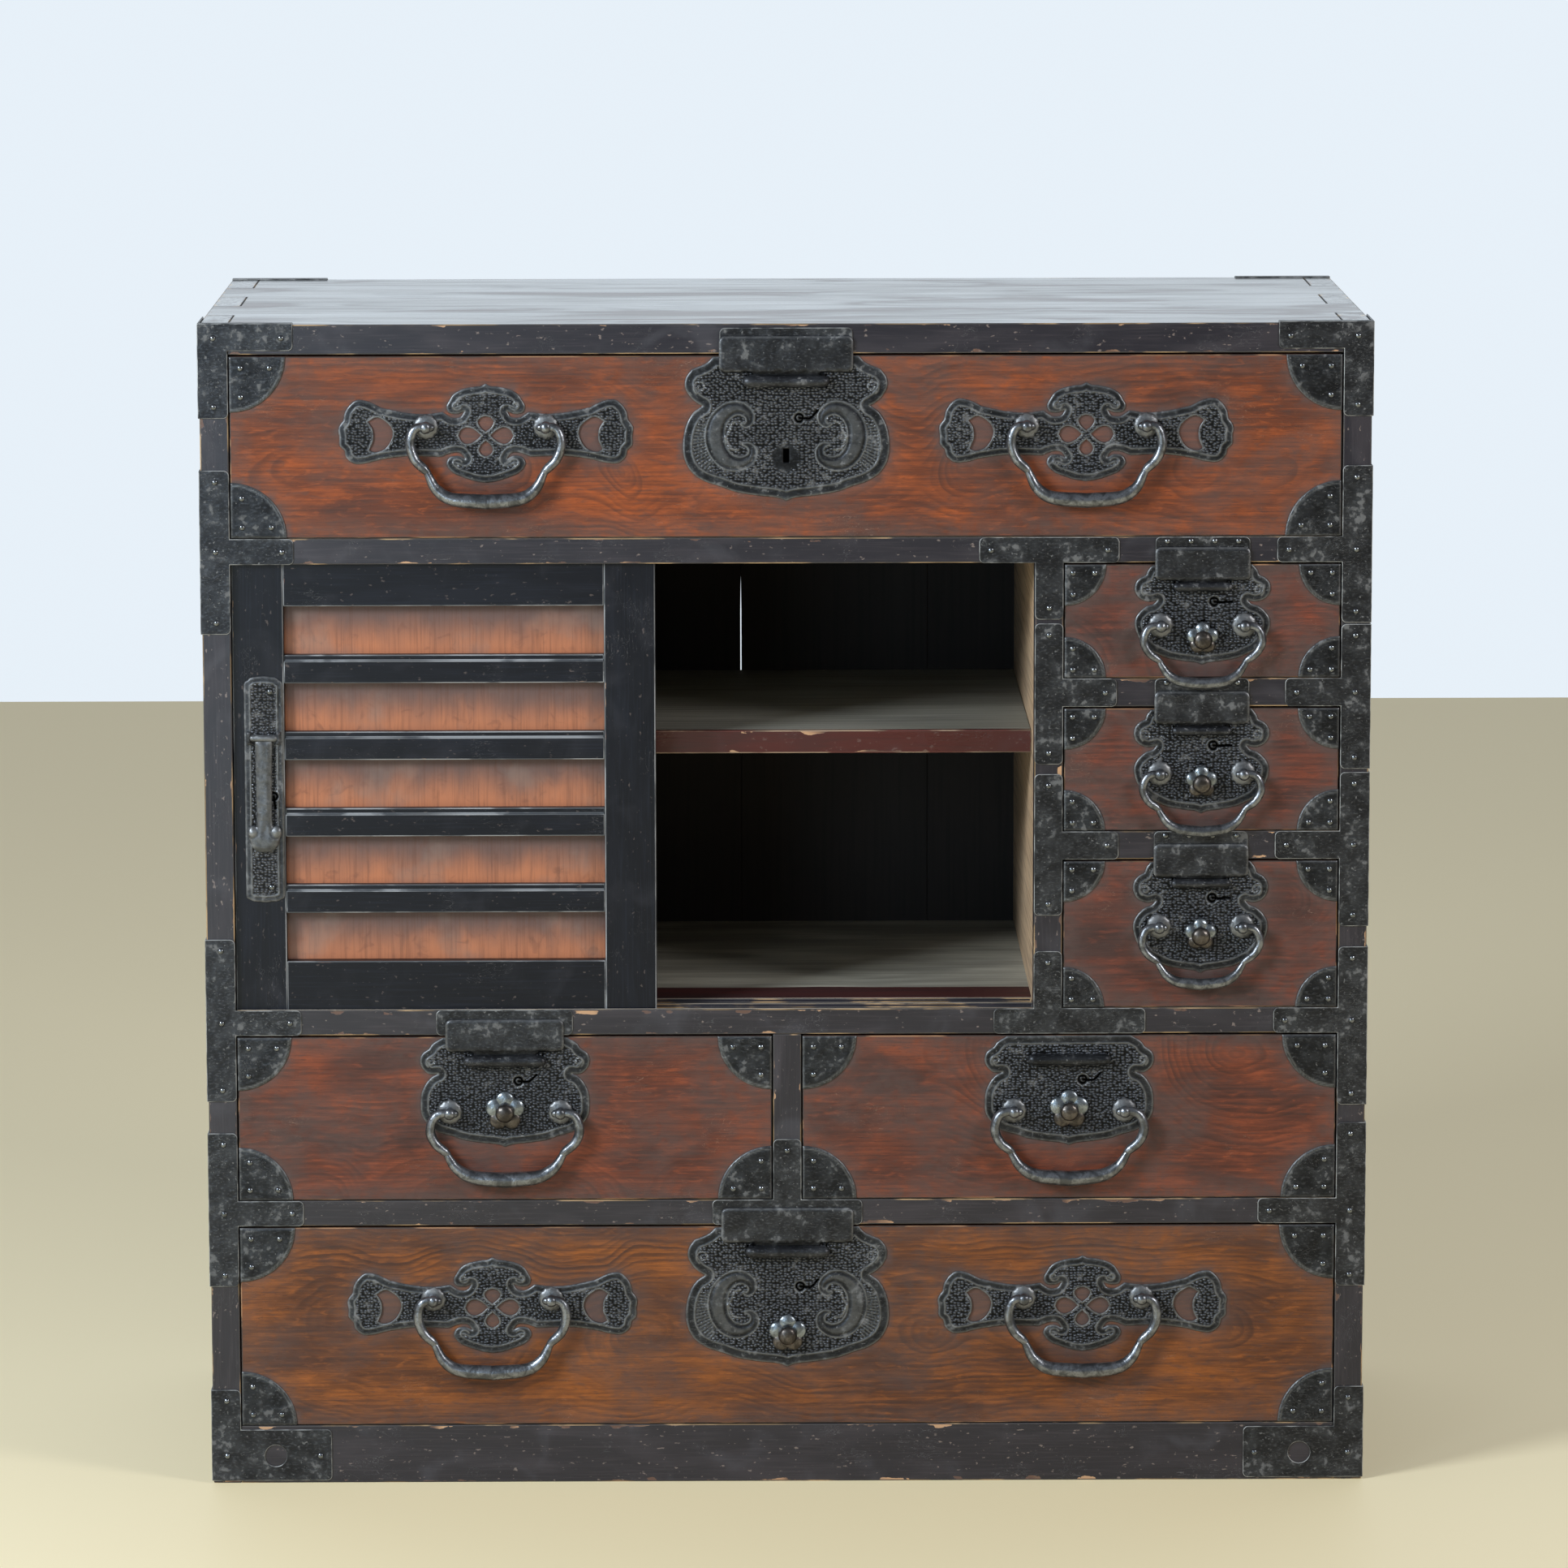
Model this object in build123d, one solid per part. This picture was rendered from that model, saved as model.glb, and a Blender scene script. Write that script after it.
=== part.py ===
from build123d import *
import os

# Isho clothing chest: a lacquered case with seven drawers, a compartment behind two sliding
# doors, and iron hardware. All sizes are in millimetres.
# The origin is the centre of the base on the floor. The front faces -Y, +X is the right side
# as seen from the front, and +Z is up.

# ---------------------------------------------------------------- driving dimensions: case
chest_width = 900.0
chest_depth = 410.0
board_thickness = 22.0          # side boards, posts and partitions
top_thickness = 23.0
finger_count = 5                # fingers along each top corner, the sides holding the odd ones
base_height = 46.0              # front base rail
rail_height = 20.0              # rails across the whole width
short_rail_height = 22.0        # rails between the small drawers
plain_rail_depth = 30.0         # rails without door grooves
base_rail_depth = 22.0
bottom_board_thickness = 20.0
batten_width = 40.0             # middle batten under the bottom board
dust_board_thickness = 8.0
plank_thickness = 8.0
planks_each_side = 3            # back planks on each side of the middle joint
plank_joint_x = -34.0           # middle joint of the back planks
plank_floor_gap = 5.0
shelf_thickness = 18.0
shelf_rise = 210.5              # top of the shelf above the door sill
shelf_lip_depth = 6.0           # lacquered lip along the shelf's front
shelf_setback = 8.0             # from the door track to the shelf's lip

# Heights of the drawer bays, from the floor up, and the width of the small drawer column.
bottom_bay_height = 159.5
half_bay_height = 131.0
lower_bay_height = 117.0
middle_bay_height = 97.5
upper_bay_height = 90.0
top_bay_height = 142.0
small_bay_width = 214.5

# ---------------------------------------------------------------- driving dimensions: doors
door_thickness = 17.0
door_overlap = 33.0             # the two doors together are this much wider than the opening
door_stile_width = 39.5
door_top_rail = 33.0            # visible height of the door's rails
door_bottom_rail = 38.0
door_slat_height = 22.0
door_slat_count = 4
door_slat_depth = 9.5           # from the door's face back to the panel
slat_step_height = 4.5          # moulded step along each slat's upper edge
slat_step_depth = 2.0
door_panel_thickness = 5.0
track_lip = 4.0                 # wood in front of the front groove, and behind the rear one
track_ridge = 4.0               # wood between the grooves
track_clearance = 0.5           # each side of a door in its groove
sill_groove_depth = 3.0
head_groove_depth = 9.0
door_sill_gap = 0.3             # running gap under a door
door_head_gap = 3.5             # room to lift a door out

# -------------------------------------------------------------- driving dimensions: drawers
front_setback = 0.5             # drawer fronts lie this far behind the case's front
front_thickness = 18.0
drawer_side_gap = 1.0
drawer_top_gap = 1.5
drawer_bottom_gap = 0.4
drawer_rear_gap = 5.0
box_thickness = 10.0            # drawer sides and back
box_bottom_thickness = 6.0
box_top_drop = 8.0              # drawer sides are this much lower than the front
drawer_travel = 300.0

# ---------------------------------------------------------------- driving dimensions: irons
iron_thickness = 1.2
iron_corner_radius = 4.0
iron_side_return = 60.0         # how far the straps run back round the sides
iron_top_return = 8.0           # how far the top corner irons run over the top
corner_iron_reach = 72.0        # top corner irons, along the top and down the stile
rear_iron_reach = 78.0
rear_iron_drop = 40.0
base_iron_top = 75.0
base_iron_reach = 93.0
base_iron_height = 41.0
base_iron_floor_gap = 2.0
base_iron_hole_radius = 8.5
base_iron_hole_inset = 49.0     # from the chest's side to the hole's centre
base_iron_hole_z = 22.0
nail_radius = 2.2
nail_height = 1.3
nail_inset = 9.0                # from the end of a strap to its nail

# Joint straps on the side stiles: rise above and drop below the rail's middle, and how far
# the leg on the rail reaches from the side of the chest.
left_straps = {
    "door_head": (63.0, 64.0, 71.0),
    "door_sill": (66.0, 62.0, 73.0),
    "bottom_rail": (64.0, 58.0, 73.0),
}
right_straps = {
    "door_head": (65.0, 57.0, 72.0),
    "upper_short": (53.0, 60.0, 65.0),
    "lower_short": (57.0, 64.0, 72.0),
    "door_sill": (58.0, 67.0, 72.0),
    "bottom_rail": (70.0, 60.0, 83.0),
}
# Straps on the partition: rise, drop, and the leg's reach from the partition's middle.
partition_straps = {
    "upper_short": (54.0, 56.0, 52.5),
    "lower_short": (56.0, 55.0, 54.5),
}
partition_head_width = 108.0
partition_head_drop = 54.0      # below the middle of the door head rail
partition_foot_rise = 45.0      # above the door sill
centre_post_rise = 48.0         # above the bottom rail

# ------------------------------------------------------------- driving dimensions: hardware
post_radius = 5.0
post_collar_radius = 10.0
post_collar_thickness = 1.5
pivot_standoff = 8.5            # bail pivot in front of its plate
pin_clearance = 0.08            # radial, between each hinge pin and its hole
bail_pin_radius = 2.2
hinge_radius = 3.2              # flap barrel
hinge_standoff = 3.4            # flap hinge axis in front of the lock plate
hinge_pin_radius = 1.0
hinge_lug_width = 2.0
hinge_lug_gap = 0.4             # between a barrel's end and its lug
flap_thickness = 1.6
flap_gap = 0.4                  # between a closed flap and the rail plate
neck_share = 0.92               # width of the flap's neck, of its barrel
knob_travel = 6.0
knob_stem_radius = 2.8
knob_gap = 1.0                  # between the knob's flower and the lock plate
knob_flower_thickness = 4.0
knob_petals = 5
knob_ball_radius = 8.0
bolt_width = 9.0
bolt_thickness = 5.5
bolt_clearance = 0.3
bolt_end_gap = 1.0              # top of the lowered bolt below the drawer front's top edge
bolt_tail = 8.0                 # bolt below the stem's middle
lock_cover_width = 26.0
lock_cover_thickness = 1.5
lock_cover_tail = 14.0
mortise_depth = 5.0
keyhole_radius = 2.6
keyhole_tail_length = 11.0
keyhole_tail_width = 1.6

# Bails. All places are measured from the middle of the pivot axis.
bail_kinds = {
    "wide": {
        "post_x": 46.0, "reach": 57.8, "reach_drop": 14.0, "cusp_x": 46.0, "cusp_drop": 33.0,
        "arm_radius": 2.6, "grip_x": 44.0, "grip_top": 31.5, "grip_bend_x": 26.0,
        "grip_bend_drop": 55.0, "grip_drop": 57.3, "grip_radius": 5.4,
    },
    "half": {
        "post_x": 43.0, "reach": 58.2, "reach_drop": 14.0, "cusp_x": 46.0, "cusp_drop": 31.0,
        "arm_radius": 2.5, "grip_x": 43.5, "grip_top": 29.5, "grip_bend_x": 25.0,
        "grip_bend_drop": 50.5, "grip_drop": 52.6, "grip_radius": 5.4,
    },
    "small": {
        "post_x": 32.3, "reach": 45.8, "reach_drop": 12.5, "cusp_x": 34.0, "cusp_drop": 26.5,
        "arm_radius": 2.3, "grip_x": 31.5, "grip_top": 25.0, "grip_bend_x": 18.0,
        "grip_bend_drop": 43.0, "grip_drop": 44.6, "grip_radius": 4.0,
    },
}
wide_bail_x = 230.5             # bails of the wide drawers, from the drawer's middle
wide_plate_width = 224.0
wide_plate_height = 77.0
wide_pivot_rise = 7.0           # bail pivot above the middle of its plate
petal_hole_radius = 4.8
petal_hole_x = 12.5
petal_hole_z = 10.5
crescent_x = 82.0
crescent_radius = 10.5
crescent_bite_radius = 8.5
crescent_bite_offset = 9.0

# Front door's lock plate and its lever.
door_plate_width = 30.0
door_plate_height = 177.0
door_plate_edge = 8.5           # from the door's left edge to the plate
door_plate_top_drop = 87.0      # from the door head down to the plate
lever_drop = 48.0               # from the plate's top to the lever's axis
lever_length = 78.0             # from the axis to the middle of the lobed end
lever_width = 13.0
lever_thickness = 1.6
lever_barrel_radius = 2.3
lever_barrel_length = 17.0
lever_standoff = 2.6
lever_lobe_radius = 6.0
lever_lobe_offset = 5.5

# ------------------------------------------------------------------------ places in the case
front_y = -chest_depth / 2
back_y = chest_depth / 2
planks_y = back_y - plank_thickness
side_x = chest_width / 2
inner_x = side_x - board_thickness
partition_right = inner_x - small_bay_width
partition_left = partition_right - board_thickness
partition_x = (partition_left + partition_right) / 2
post_half = board_thickness / 2

groove_width = door_thickness + 2 * track_clearance
front_groove_y = front_y + track_lip
rear_groove_y = front_groove_y + groove_width + track_ridge
track_rail_depth = 2 * track_lip + 2 * groove_width + track_ridge

rails = {}
level = base_height + bottom_bay_height
rails["bottom_rail"] = (level, level + rail_height)
level += rail_height + half_bay_height
rails["door_sill"] = (level, level + rail_height)
level += rail_height + lower_bay_height
rails["lower_short"] = (level, level + short_rail_height)
level += short_rail_height + middle_bay_height
rails["upper_short"] = (level, level + short_rail_height)
level += short_rail_height + upper_bay_height
rails["door_head"] = (level, level + rail_height)
level += rail_height + top_bay_height
rails["top"] = (level, level + top_thickness)
chest_height = level + top_thickness

sill_z = rails["door_sill"][1]
head_z = rails["door_head"][0]
compartment_width = partition_left + inner_x

# ------------------------------------------------------------------------------ the drawers
small_lock = {
    "plate_width": 105.0, "flap_width": 73.5, "barrel_length": 40.0, "hinge_drop": 17.0,
    "flap_low": 4.5, "flap_rise": 13.5, "knob_drop": 57.0, "knob_radius": 14.5,
    "keyhole_x": 9.0, "keyhole_drop": 29.0, "corner": 32.0, "bail": "small", "rail_plate": 73.0,
}
half_lock = {
    "plate_width": 132.0, "flap_width": 92.0, "barrel_length": 56.0, "hinge_drop": 18.5,
    "flap_low": 7.0, "flap_rise": 14.0, "knob_drop": 58.0, "knob_radius": 17.0,
    "keyhole_x": 10.5, "keyhole_drop": 35.0, "corner": 42.0, "bail": "half",
    "plate_height": 87.0, "pivot_drop": 59.0, "rail_plate": 106.0,
}
wide_lock = {
    "plate_width": 161.0, "flap_width": 103.0, "barrel_length": 58.0, "hinge_drop": 19.5,
    "flap_low": 8.5, "flap_rise": 15.0, "knob_drop": 84.5, "knob_radius": 16.0,
    "keyhole_x": 10.0, "keyhole_drop": 48.0, "corner": 43.0, "bail": "wide",
    "plate_height": 112.0, "rail_plate": 102.0,
}
drawers = {
    "top": {
        **wide_lock, "left": -inner_x, "right": inner_x, "low": rails["door_head"][1],
        "rail": "top", "bail_plate_z": 0.56, "flap": True, "knob": False, "knob_drop": 79.0,
    },
    "small_upper": {
        **small_lock, "left": partition_right, "right": inner_x,
        "low": rails["upper_short"][1], "rail": "door_head", "flap": True, "knob": True,
        "plate_height": 78.0, "pivot_drop": 47.0,
    },
    "small_middle": {
        **small_lock, "left": partition_right, "right": inner_x,
        "low": rails["lower_short"][1], "rail": "upper_short", "flap": True, "knob": True,
        "plate_height": 82.0, "pivot_drop": 50.5,
    },
    "small_lower": {
        **small_lock, "left": partition_right, "right": inner_x,
        "low": rails["door_sill"][1], "rail": "lower_short", "flap": True, "knob": True,
        "plate_height": 88.0, "pivot_drop": 51.0,
    },
    "half_left": {
        **half_lock, "left": -inner_x, "right": -post_half, "low": rails["bottom_rail"][1],
        "rail": "door_sill", "flap": True, "knob": True,
    },
    "half_right": {
        **half_lock, "left": post_half, "right": inner_x, "low": rails["bottom_rail"][1],
        "rail": "door_sill", "flap": False, "knob": True, "rail_plate": 118.0,
    },
    "bottom": {
        **wide_lock, "left": -inner_x, "right": inner_x, "low": base_height,
        "rail": "bottom_rail", "bail_plate_z": 0.59, "flap": True, "knob": True,
        "rail_plate": 117.0,
    },
}
face_y = front_y + front_setback            # front face of every drawer
front_back_y = face_y + front_thickness     # back of the drawer fronts
plate_y = face_y - iron_thickness           # front face of the drawers' plates
pivot_y = plate_y - pivot_standoff
flap_hinge_y = plate_y - hinge_standoff
flap_back_y = front_y - iron_thickness - flap_gap
bolt_front_y = front_back_y - bolt_thickness - 2 * bolt_clearance

for drawer in drawers.values():
    drawer["x"] = (drawer["left"] + drawer["right"]) / 2
    drawer["top"] = rails[drawer["rail"]][0] - drawer_top_gap
    drawer["bottom"] = drawer["low"] + drawer_bottom_gap


# ------------------------------------------------------------------------------ basic shapes
def block(x0, x1, y0, y1, z0, z1):
    """A box given by its limits along each axis."""
    middle = Pos((x0 + x1) / 2, (y0 + y1) / 2, (z0 + z1) / 2)
    return middle * Box(x1 - x0, y1 - y0, z1 - z0)


def rod_x(x0, x1, y, z, radius):
    """A round bar along X."""
    return Pos((x0 + x1) / 2, y, z) * Rot(0, 90, 0) * Cylinder(radius, x1 - x0)


def rod_y(x, z, y0, y1, radius):
    """A round bar along Y."""
    return Pos(x, (y0 + y1) / 2, z) * Rot(90, 0, 0) * Cylinder(radius, y1 - y0)


def plate(face, back_y_of_plate, thickness=iron_thickness):
    """A plate drawn in X and Z, standing in front of the given depth."""
    return extrude(Plane.XZ.offset(-back_y_of_plate) * face, thickness)


def nail(x, z, y):
    """A nail's head on a surface that faces the front."""
    return rod_y(x, z, y - nail_height, y, nail_radius)


def mirrored(shape):
    """The same shape on the other side of the chest's middle plane."""
    return mirror(shape, Plane.YZ)


def outline(points, rounded=(), radius=iron_corner_radius):
    """A face with straight edges, with the corners listed by index rounded."""
    face = make_face(Polyline(*points, close=True))
    corners = [
        vertex
        for vertex in face.vertices()
        if any((Vector(*points[i]) - Vector(vertex.X, vertex.Y)).length < 0.01 for i in rounded)
    ]
    return fillet(corners, radius) if corners else face


def write(name, solids):
    """One STEP file for one node."""
    shapes = [solid for shape in solids for solid in shape.solids()]
    export_step(Compound(children=shapes), f"parts/{name}.step")


# ---------------------------------------------------------------------------------- the case
finger_length = chest_depth / finger_count


def fingers(first):
    """Blocks at the left top corner, every other finger from the one numbered first."""
    return [
        block(
            -side_x,
            -inner_x,
            front_y + index * finger_length,
            front_y + (index + 1) * finger_length,
            rails["top"][0],
            chest_height,
        )
        for index in range(first, finger_count, 2)
    ]


def side_panel():
    """Left side board, with its fingers through the top."""
    panel = block(-side_x, -inner_x, front_y, back_y, 0, rails["top"][0])
    for finger in fingers(0):
        panel += finger
    return panel


def bolt_mortise(drawer, rail_low):
    """Hole in the underside of a rail, where a drawer's bolt enters."""
    reach = bolt_width / 2 + bolt_clearance
    return block(
        drawer["x"] - reach,
        drawer["x"] + reach,
        bolt_front_y - bolt_clearance,
        front_back_y + bolt_clearance,
        rail_low,
        rail_low + mortise_depth,
    )


def with_mortises(rail, name):
    """Cuts the bolt mortises of the drawers that lock into this rail."""
    for drawer in drawers.values():
        if drawer["rail"] == name:
            rail -= bolt_mortise(drawer, rails[name][0])
    return rail


def top_board():
    board = block(-inner_x, inner_x, front_y, back_y, rails["top"][0], chest_height)
    for finger in fingers(1):
        board += finger
        board += mirrored(finger)
    return with_mortises(board, "top")


def grooves(z0, z1):
    """The two door grooves between two heights."""
    return [
        block(-inner_x, partition_left, y, y + groove_width, z0, z1)
        for y in (front_groove_y, rear_groove_y)
    ]


def front_rails():
    lefts = {"bottom_rail": -inner_x, "lower_short": partition_right, "upper_short": partition_right}
    shapes = []
    for name, left in lefts.items():
        rail = block(left, inner_x, front_y, front_y + plain_rail_depth, *rails[name])
        shapes.append(with_mortises(rail, name))
    return shapes


def door_tracks():
    """The sill and the head, each with the two grooves that the doors run in."""
    back = front_y + track_rail_depth
    sill = with_mortises(block(-inner_x, inner_x, front_y, back, *rails["door_sill"]), "door_sill")
    for groove in grooves(sill_z - sill_groove_depth, sill_z):
        sill -= groove
    head = with_mortises(block(-inner_x, inner_x, front_y, back, *rails["door_head"]), "door_head")
    for groove in grooves(head_z, head_z + head_groove_depth):
        head -= groove
    return [sill, head]


def dust_boards():
    """Boards behind the rails, flush with their tops, on which the drawers run."""
    shapes = []
    for name in ("bottom_rail", "door_sill", "door_head", "lower_short", "upper_short"):
        depth = track_rail_depth if name.startswith("door") else plain_rail_depth
        left = partition_right if name.endswith("short") else -inner_x
        z1 = rails[name][1]
        z0 = z1 - dust_board_thickness
        shapes.append(block(left, inner_x, front_y + depth, planks_y, z0, z1))
    return shapes


def partitions():
    """Posts in the front frame, and the boards behind them."""
    post_back = front_y + board_thickness
    track_back = front_y + track_rail_depth
    tall = block(partition_left, partition_right, post_back, planks_y, sill_z, head_z)
    ceiling = rails["door_head"][1] - dust_board_thickness
    tall += block(partition_left, partition_right, track_back, planks_y, head_z, ceiling)
    low = rails["bottom_rail"][1]
    high = rails["door_sill"][0]
    short = block(-post_half, post_half, post_back, planks_y, low, high)
    floor = rails["door_sill"][1] - dust_board_thickness
    short += block(-post_half, post_half, track_back, planks_y, high, floor)
    posts = [
        block(partition_left, partition_right, front_y, post_back, sill_z, head_z),
        block(-post_half, post_half, front_y, post_back, low, high),
    ]
    return posts + [tall, short]


def base_frame():
    low = base_height - bottom_board_thickness
    front_back = front_y + base_rail_depth
    rear_front = planks_y - base_rail_depth
    return [
        block(-inner_x, inner_x, front_y, front_back, 0, base_height),
        block(-inner_x, inner_x, rear_front, planks_y, 0, low),
        block(-batten_width / 2, batten_width / 2, front_back, rear_front, 0, low),
    ]


def back_planks():
    low = plank_floor_gap
    high = rails["top"][0]
    shapes = []
    for start, end in ((-inner_x, plank_joint_x), (plank_joint_x, inner_x)):
        width = (end - start) / planks_each_side
        for index in range(planks_each_side):
            x0 = start + index * width
            shapes.append(block(x0, x0 + width, planks_y, back_y, low, high))
    return shapes


def shelf():
    lip_y = front_y + track_rail_depth + shelf_setback
    board_y = lip_y + shelf_lip_depth
    z1 = sill_z + shelf_rise
    z0 = z1 - shelf_thickness
    return [
        block(-inner_x, partition_left, lip_y, board_y, z0, z1),
        block(-inner_x, partition_left, board_y, planks_y, z0, z1),
    ]


def rail_middle(name):
    return sum(rails[name]) / 2


def joint_strap(name, rise, drop, reach):
    """Strap on the left stile with a leg on a rail, returned round the side."""
    low = rail_middle(name) - drop
    high = rail_middle(name) + rise
    leg = -side_x + reach
    z0, z1 = rails[name]
    edge = -side_x - iron_thickness
    points = [
        (edge, low), (-inner_x, low), (-inner_x, z0), (leg, z0),
        (leg, z1), (-inner_x, z1), (-inner_x, high), (edge, high),
    ]
    strap = plate(outline(points, (1, 3, 4, 6)), front_y)
    return strap + block(edge, -side_x, front_y, front_y + iron_side_return, low, high)


def top_corner_iron():
    """Left corner: along the top board's edge, down the stile, and over both arrises."""
    edge = -side_x - iron_thickness
    leg = -side_x + corner_iron_reach
    low = chest_height - corner_iron_reach
    high = chest_height + iron_thickness
    leg_low = chest_height - rail_height
    points = [
        (edge, low), (-inner_x, low), (-inner_x, leg_low), (leg, leg_low), (leg, high),
        (edge, high),
    ]
    iron = plate(outline(points, (1, 3)), front_y)
    iron += block(edge, leg, front_y, front_y + iron_top_return, chest_height, high)
    iron += block(edge, -side_x, front_y, front_y + iron_side_return, low, high)
    return iron


def rear_corner_iron():
    """Left rear corner: down the back and over the top's rear edge."""
    leg = -side_x + rear_iron_reach
    high = chest_height + iron_thickness
    low = chest_height - rear_iron_drop
    iron = block(-side_x, leg, back_y, back_y + iron_thickness, low, high)
    return iron + block(-side_x, leg, back_y - iron_top_return, back_y, chest_height, high)


def base_corner_iron():
    """Left base corner, with the hole near its inner end."""
    edge = -side_x - iron_thickness
    low = base_iron_floor_gap
    leg_top = low + base_iron_height
    leg = -side_x + base_iron_reach
    points = [
        (edge, low), (leg, low), (leg, leg_top), (-inner_x, leg_top),
        (-inner_x, base_iron_top), (edge, base_iron_top),
    ]
    face = outline(points, (1, 2, 4))
    hole_x = -side_x + base_iron_hole_inset
    face -= Pos(hole_x, base_iron_hole_z) * Circle(base_iron_hole_radius)
    iron = plate(face, front_y)
    side = block(edge, -side_x, front_y, front_y + iron_side_return, low, base_iron_top)
    return iron + side


def partition_irons():
    shapes = []
    left, right = partition_left, partition_right
    z0, z1 = rails["door_head"]
    half = partition_head_width / 2
    low = rail_middle("door_head") - partition_head_drop
    points = [
        (partition_x - half, z0), (left, z0), (left, low), (right, low), (right, z0),
        (partition_x + half, z0), (partition_x + half, z1), (partition_x - half, z1),
    ]
    shapes.append(plate(outline(points, (0, 2, 3, 5, 6, 7)), front_y))
    for name, (rise, drop, reach) in partition_straps.items():
        low = rail_middle(name) - drop
        high = rail_middle(name) + rise
        leg = partition_x + reach
        z0, z1 = rails[name]
        points = [
            (left, low), (right, low), (right, z0), (leg, z0),
            (leg, z1), (right, z1), (right, high), (left, high),
        ]
        shapes.append(plate(outline(points, (0, 1, 3, 4, 6, 7)), front_y))
    return shapes


def rail_plate(drawer, stem_x=None, stem_rise=0.0):
    """Plate on the rail above a lock, with a stem up a post where there is one."""
    z0 = rails[drawer["rail"]][0]
    z1 = z0 + rail_height if drawer["rail"] == "top" else rails[drawer["rail"]][1]
    x0 = drawer["x"] - drawer["rail_plate"] / 2
    x1 = drawer["x"] + drawer["rail_plate"] / 2
    if stem_x is None:
        points = [(x0, z0), (x1, z0), (x1, z1), (x0, z1)]
        return plate(outline(points, (0, 1, 2, 3)), front_y)
    left = stem_x - post_half
    right = stem_x + post_half
    high = z1 + stem_rise
    points = [
        (x0, z0), (x1, z0), (x1, z1), (right, z1), (right, high), (left, high), (left, z1),
        (x0, z1),
    ]
    return plate(outline(points, (0, 1, 2, 4, 5, 7)), front_y)


def rail_plates():
    stems = {"half_right": (partition_x, partition_foot_rise), "bottom": (0, centre_post_rise)}
    return [rail_plate(drawer, *stems.get(name, ())) for name, drawer in drawers.items()]


def case_irons():
    left = [joint_strap(name, *sizes) for name, sizes in left_straps.items()]
    right = [mirrored(joint_strap(name, *sizes)) for name, sizes in right_straps.items()]
    corners = [top_corner_iron(), rear_corner_iron(), base_corner_iron()]
    both = corners + [mirrored(iron) for iron in corners]
    return left + right + both + partition_irons() + rail_plates()


def case_nails():
    """Nail heads: at the ends of each strap, in its middle, and at the end of its leg."""
    places = []
    stile = (side_x + inner_x) / 2
    for sign, straps in ((-1, left_straps), (1, right_straps)):
        for name, (rise, drop, reach) in straps.items():
            middle = rail_middle(name)
            places += [
                (sign * stile, middle),
                (sign * stile, middle + rise - nail_inset),
                (sign * stile, middle - drop + nail_inset),
                (sign * (side_x - reach + nail_inset), middle),
            ]
        top_middle = chest_height - rail_height / 2
        places += [
            (sign * stile, top_middle),
            (sign * (side_x - corner_iron_reach + nail_inset), top_middle),
            (sign * stile, chest_height - corner_iron_reach + nail_inset),
            (sign * stile, base_iron_top - nail_inset),
            (sign * stile, base_iron_hole_z),
            (sign * (side_x - base_iron_reach + nail_inset), base_iron_hole_z),
        ]
    for name, (rise, drop, reach) in partition_straps.items():
        middle = rail_middle(name)
        places += [
            (partition_x, middle + rise - nail_inset),
            (partition_x, middle - drop + nail_inset),
            (partition_x + reach - nail_inset, middle),
        ]
    head = rail_middle("door_head")
    for x in (-partition_head_width / 2 + nail_inset, partition_head_width / 2 - nail_inset):
        places.append((partition_x + x, head))
    places.append((partition_x, head - partition_head_drop + nail_inset))
    places.append((partition_x, sill_z + partition_foot_rise - nail_inset))
    places.append((0, rails["bottom_rail"][1] + centre_post_rise - nail_inset))
    for drawer in drawers.values():
        flap_top = drawer["top"] + drawer["flap_rise"]
        rail_low = rails[drawer["rail"]][0]
        height = rail_height if drawer["rail"] == "top" else rails[drawer["rail"]][1] - rail_low
        z = max(rail_low + height - nail_radius - 1.0, flap_top + nail_radius + 0.4)
        spread = drawer["rail_plate"] / 2 - nail_inset
        places += [(drawer["x"] + share * spread, z) for share in (-1, -1 / 3, 1 / 3, 1)]
    return [nail(x, z, front_y - iron_thickness) for x, z in places]


# --------------------------------------------------------------------------- sliding doors
door_width = (compartment_width + door_overlap) / 2
door_low = sill_z - sill_groove_depth + door_sill_gap
door_high = head_z + head_groove_depth - door_head_gap
door_travel = compartment_width - door_width - 2 * track_clearance
door_left = -inner_x + track_clearance
panel_low = sill_z + door_bottom_rail
panel_high = head_z - door_top_rail


def door_frame(groove_y):
    """Stiles, rails and slats of one door standing in its groove at the left."""
    y0 = groove_y + track_clearance
    y1 = y0 + door_thickness
    x0 = door_left
    x1 = door_left + door_width
    inner_left = x0 + door_stile_width
    inner_right = x1 - door_stile_width
    shapes = [
        block(x0, inner_left, y0, y1, door_low, door_high),
        block(inner_right, x1, y0, y1, door_low, door_high),
        block(inner_left, inner_right, y0, y1, door_low, panel_low),
        block(inner_left, inner_right, y0, y1, panel_high, door_high),
    ]
    free = panel_high - panel_low - door_slat_count * door_slat_height
    pitch = free / (door_slat_count + 1) + door_slat_height
    for index in range(door_slat_count):
        top = panel_high - pitch * (index + 1) + door_slat_height
        low = top - door_slat_height
        slat = block(inner_left, inner_right, y0, y0 + door_slat_depth, low, top)
        step = block(
            inner_left, inner_right, y0, y0 + slat_step_depth, top - slat_step_height, top
        )
        shapes.append(slat - step)
    return shapes


def door_panel(groove_y):
    y0 = groove_y + track_clearance + door_slat_depth
    x0 = door_left + door_stile_width
    x1 = door_left + door_width - door_stile_width
    return block(x0, x1, y0, y0 + door_panel_thickness, panel_low, panel_high)


door_face_y = front_groove_y + track_clearance
door_plate_y = door_face_y - iron_thickness
door_plate_x = door_left + door_plate_edge + door_plate_width / 2
door_plate_top = head_z - door_plate_top_drop
lever_y = door_plate_y - lever_standoff
lever_z = door_plate_top - lever_drop


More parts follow.
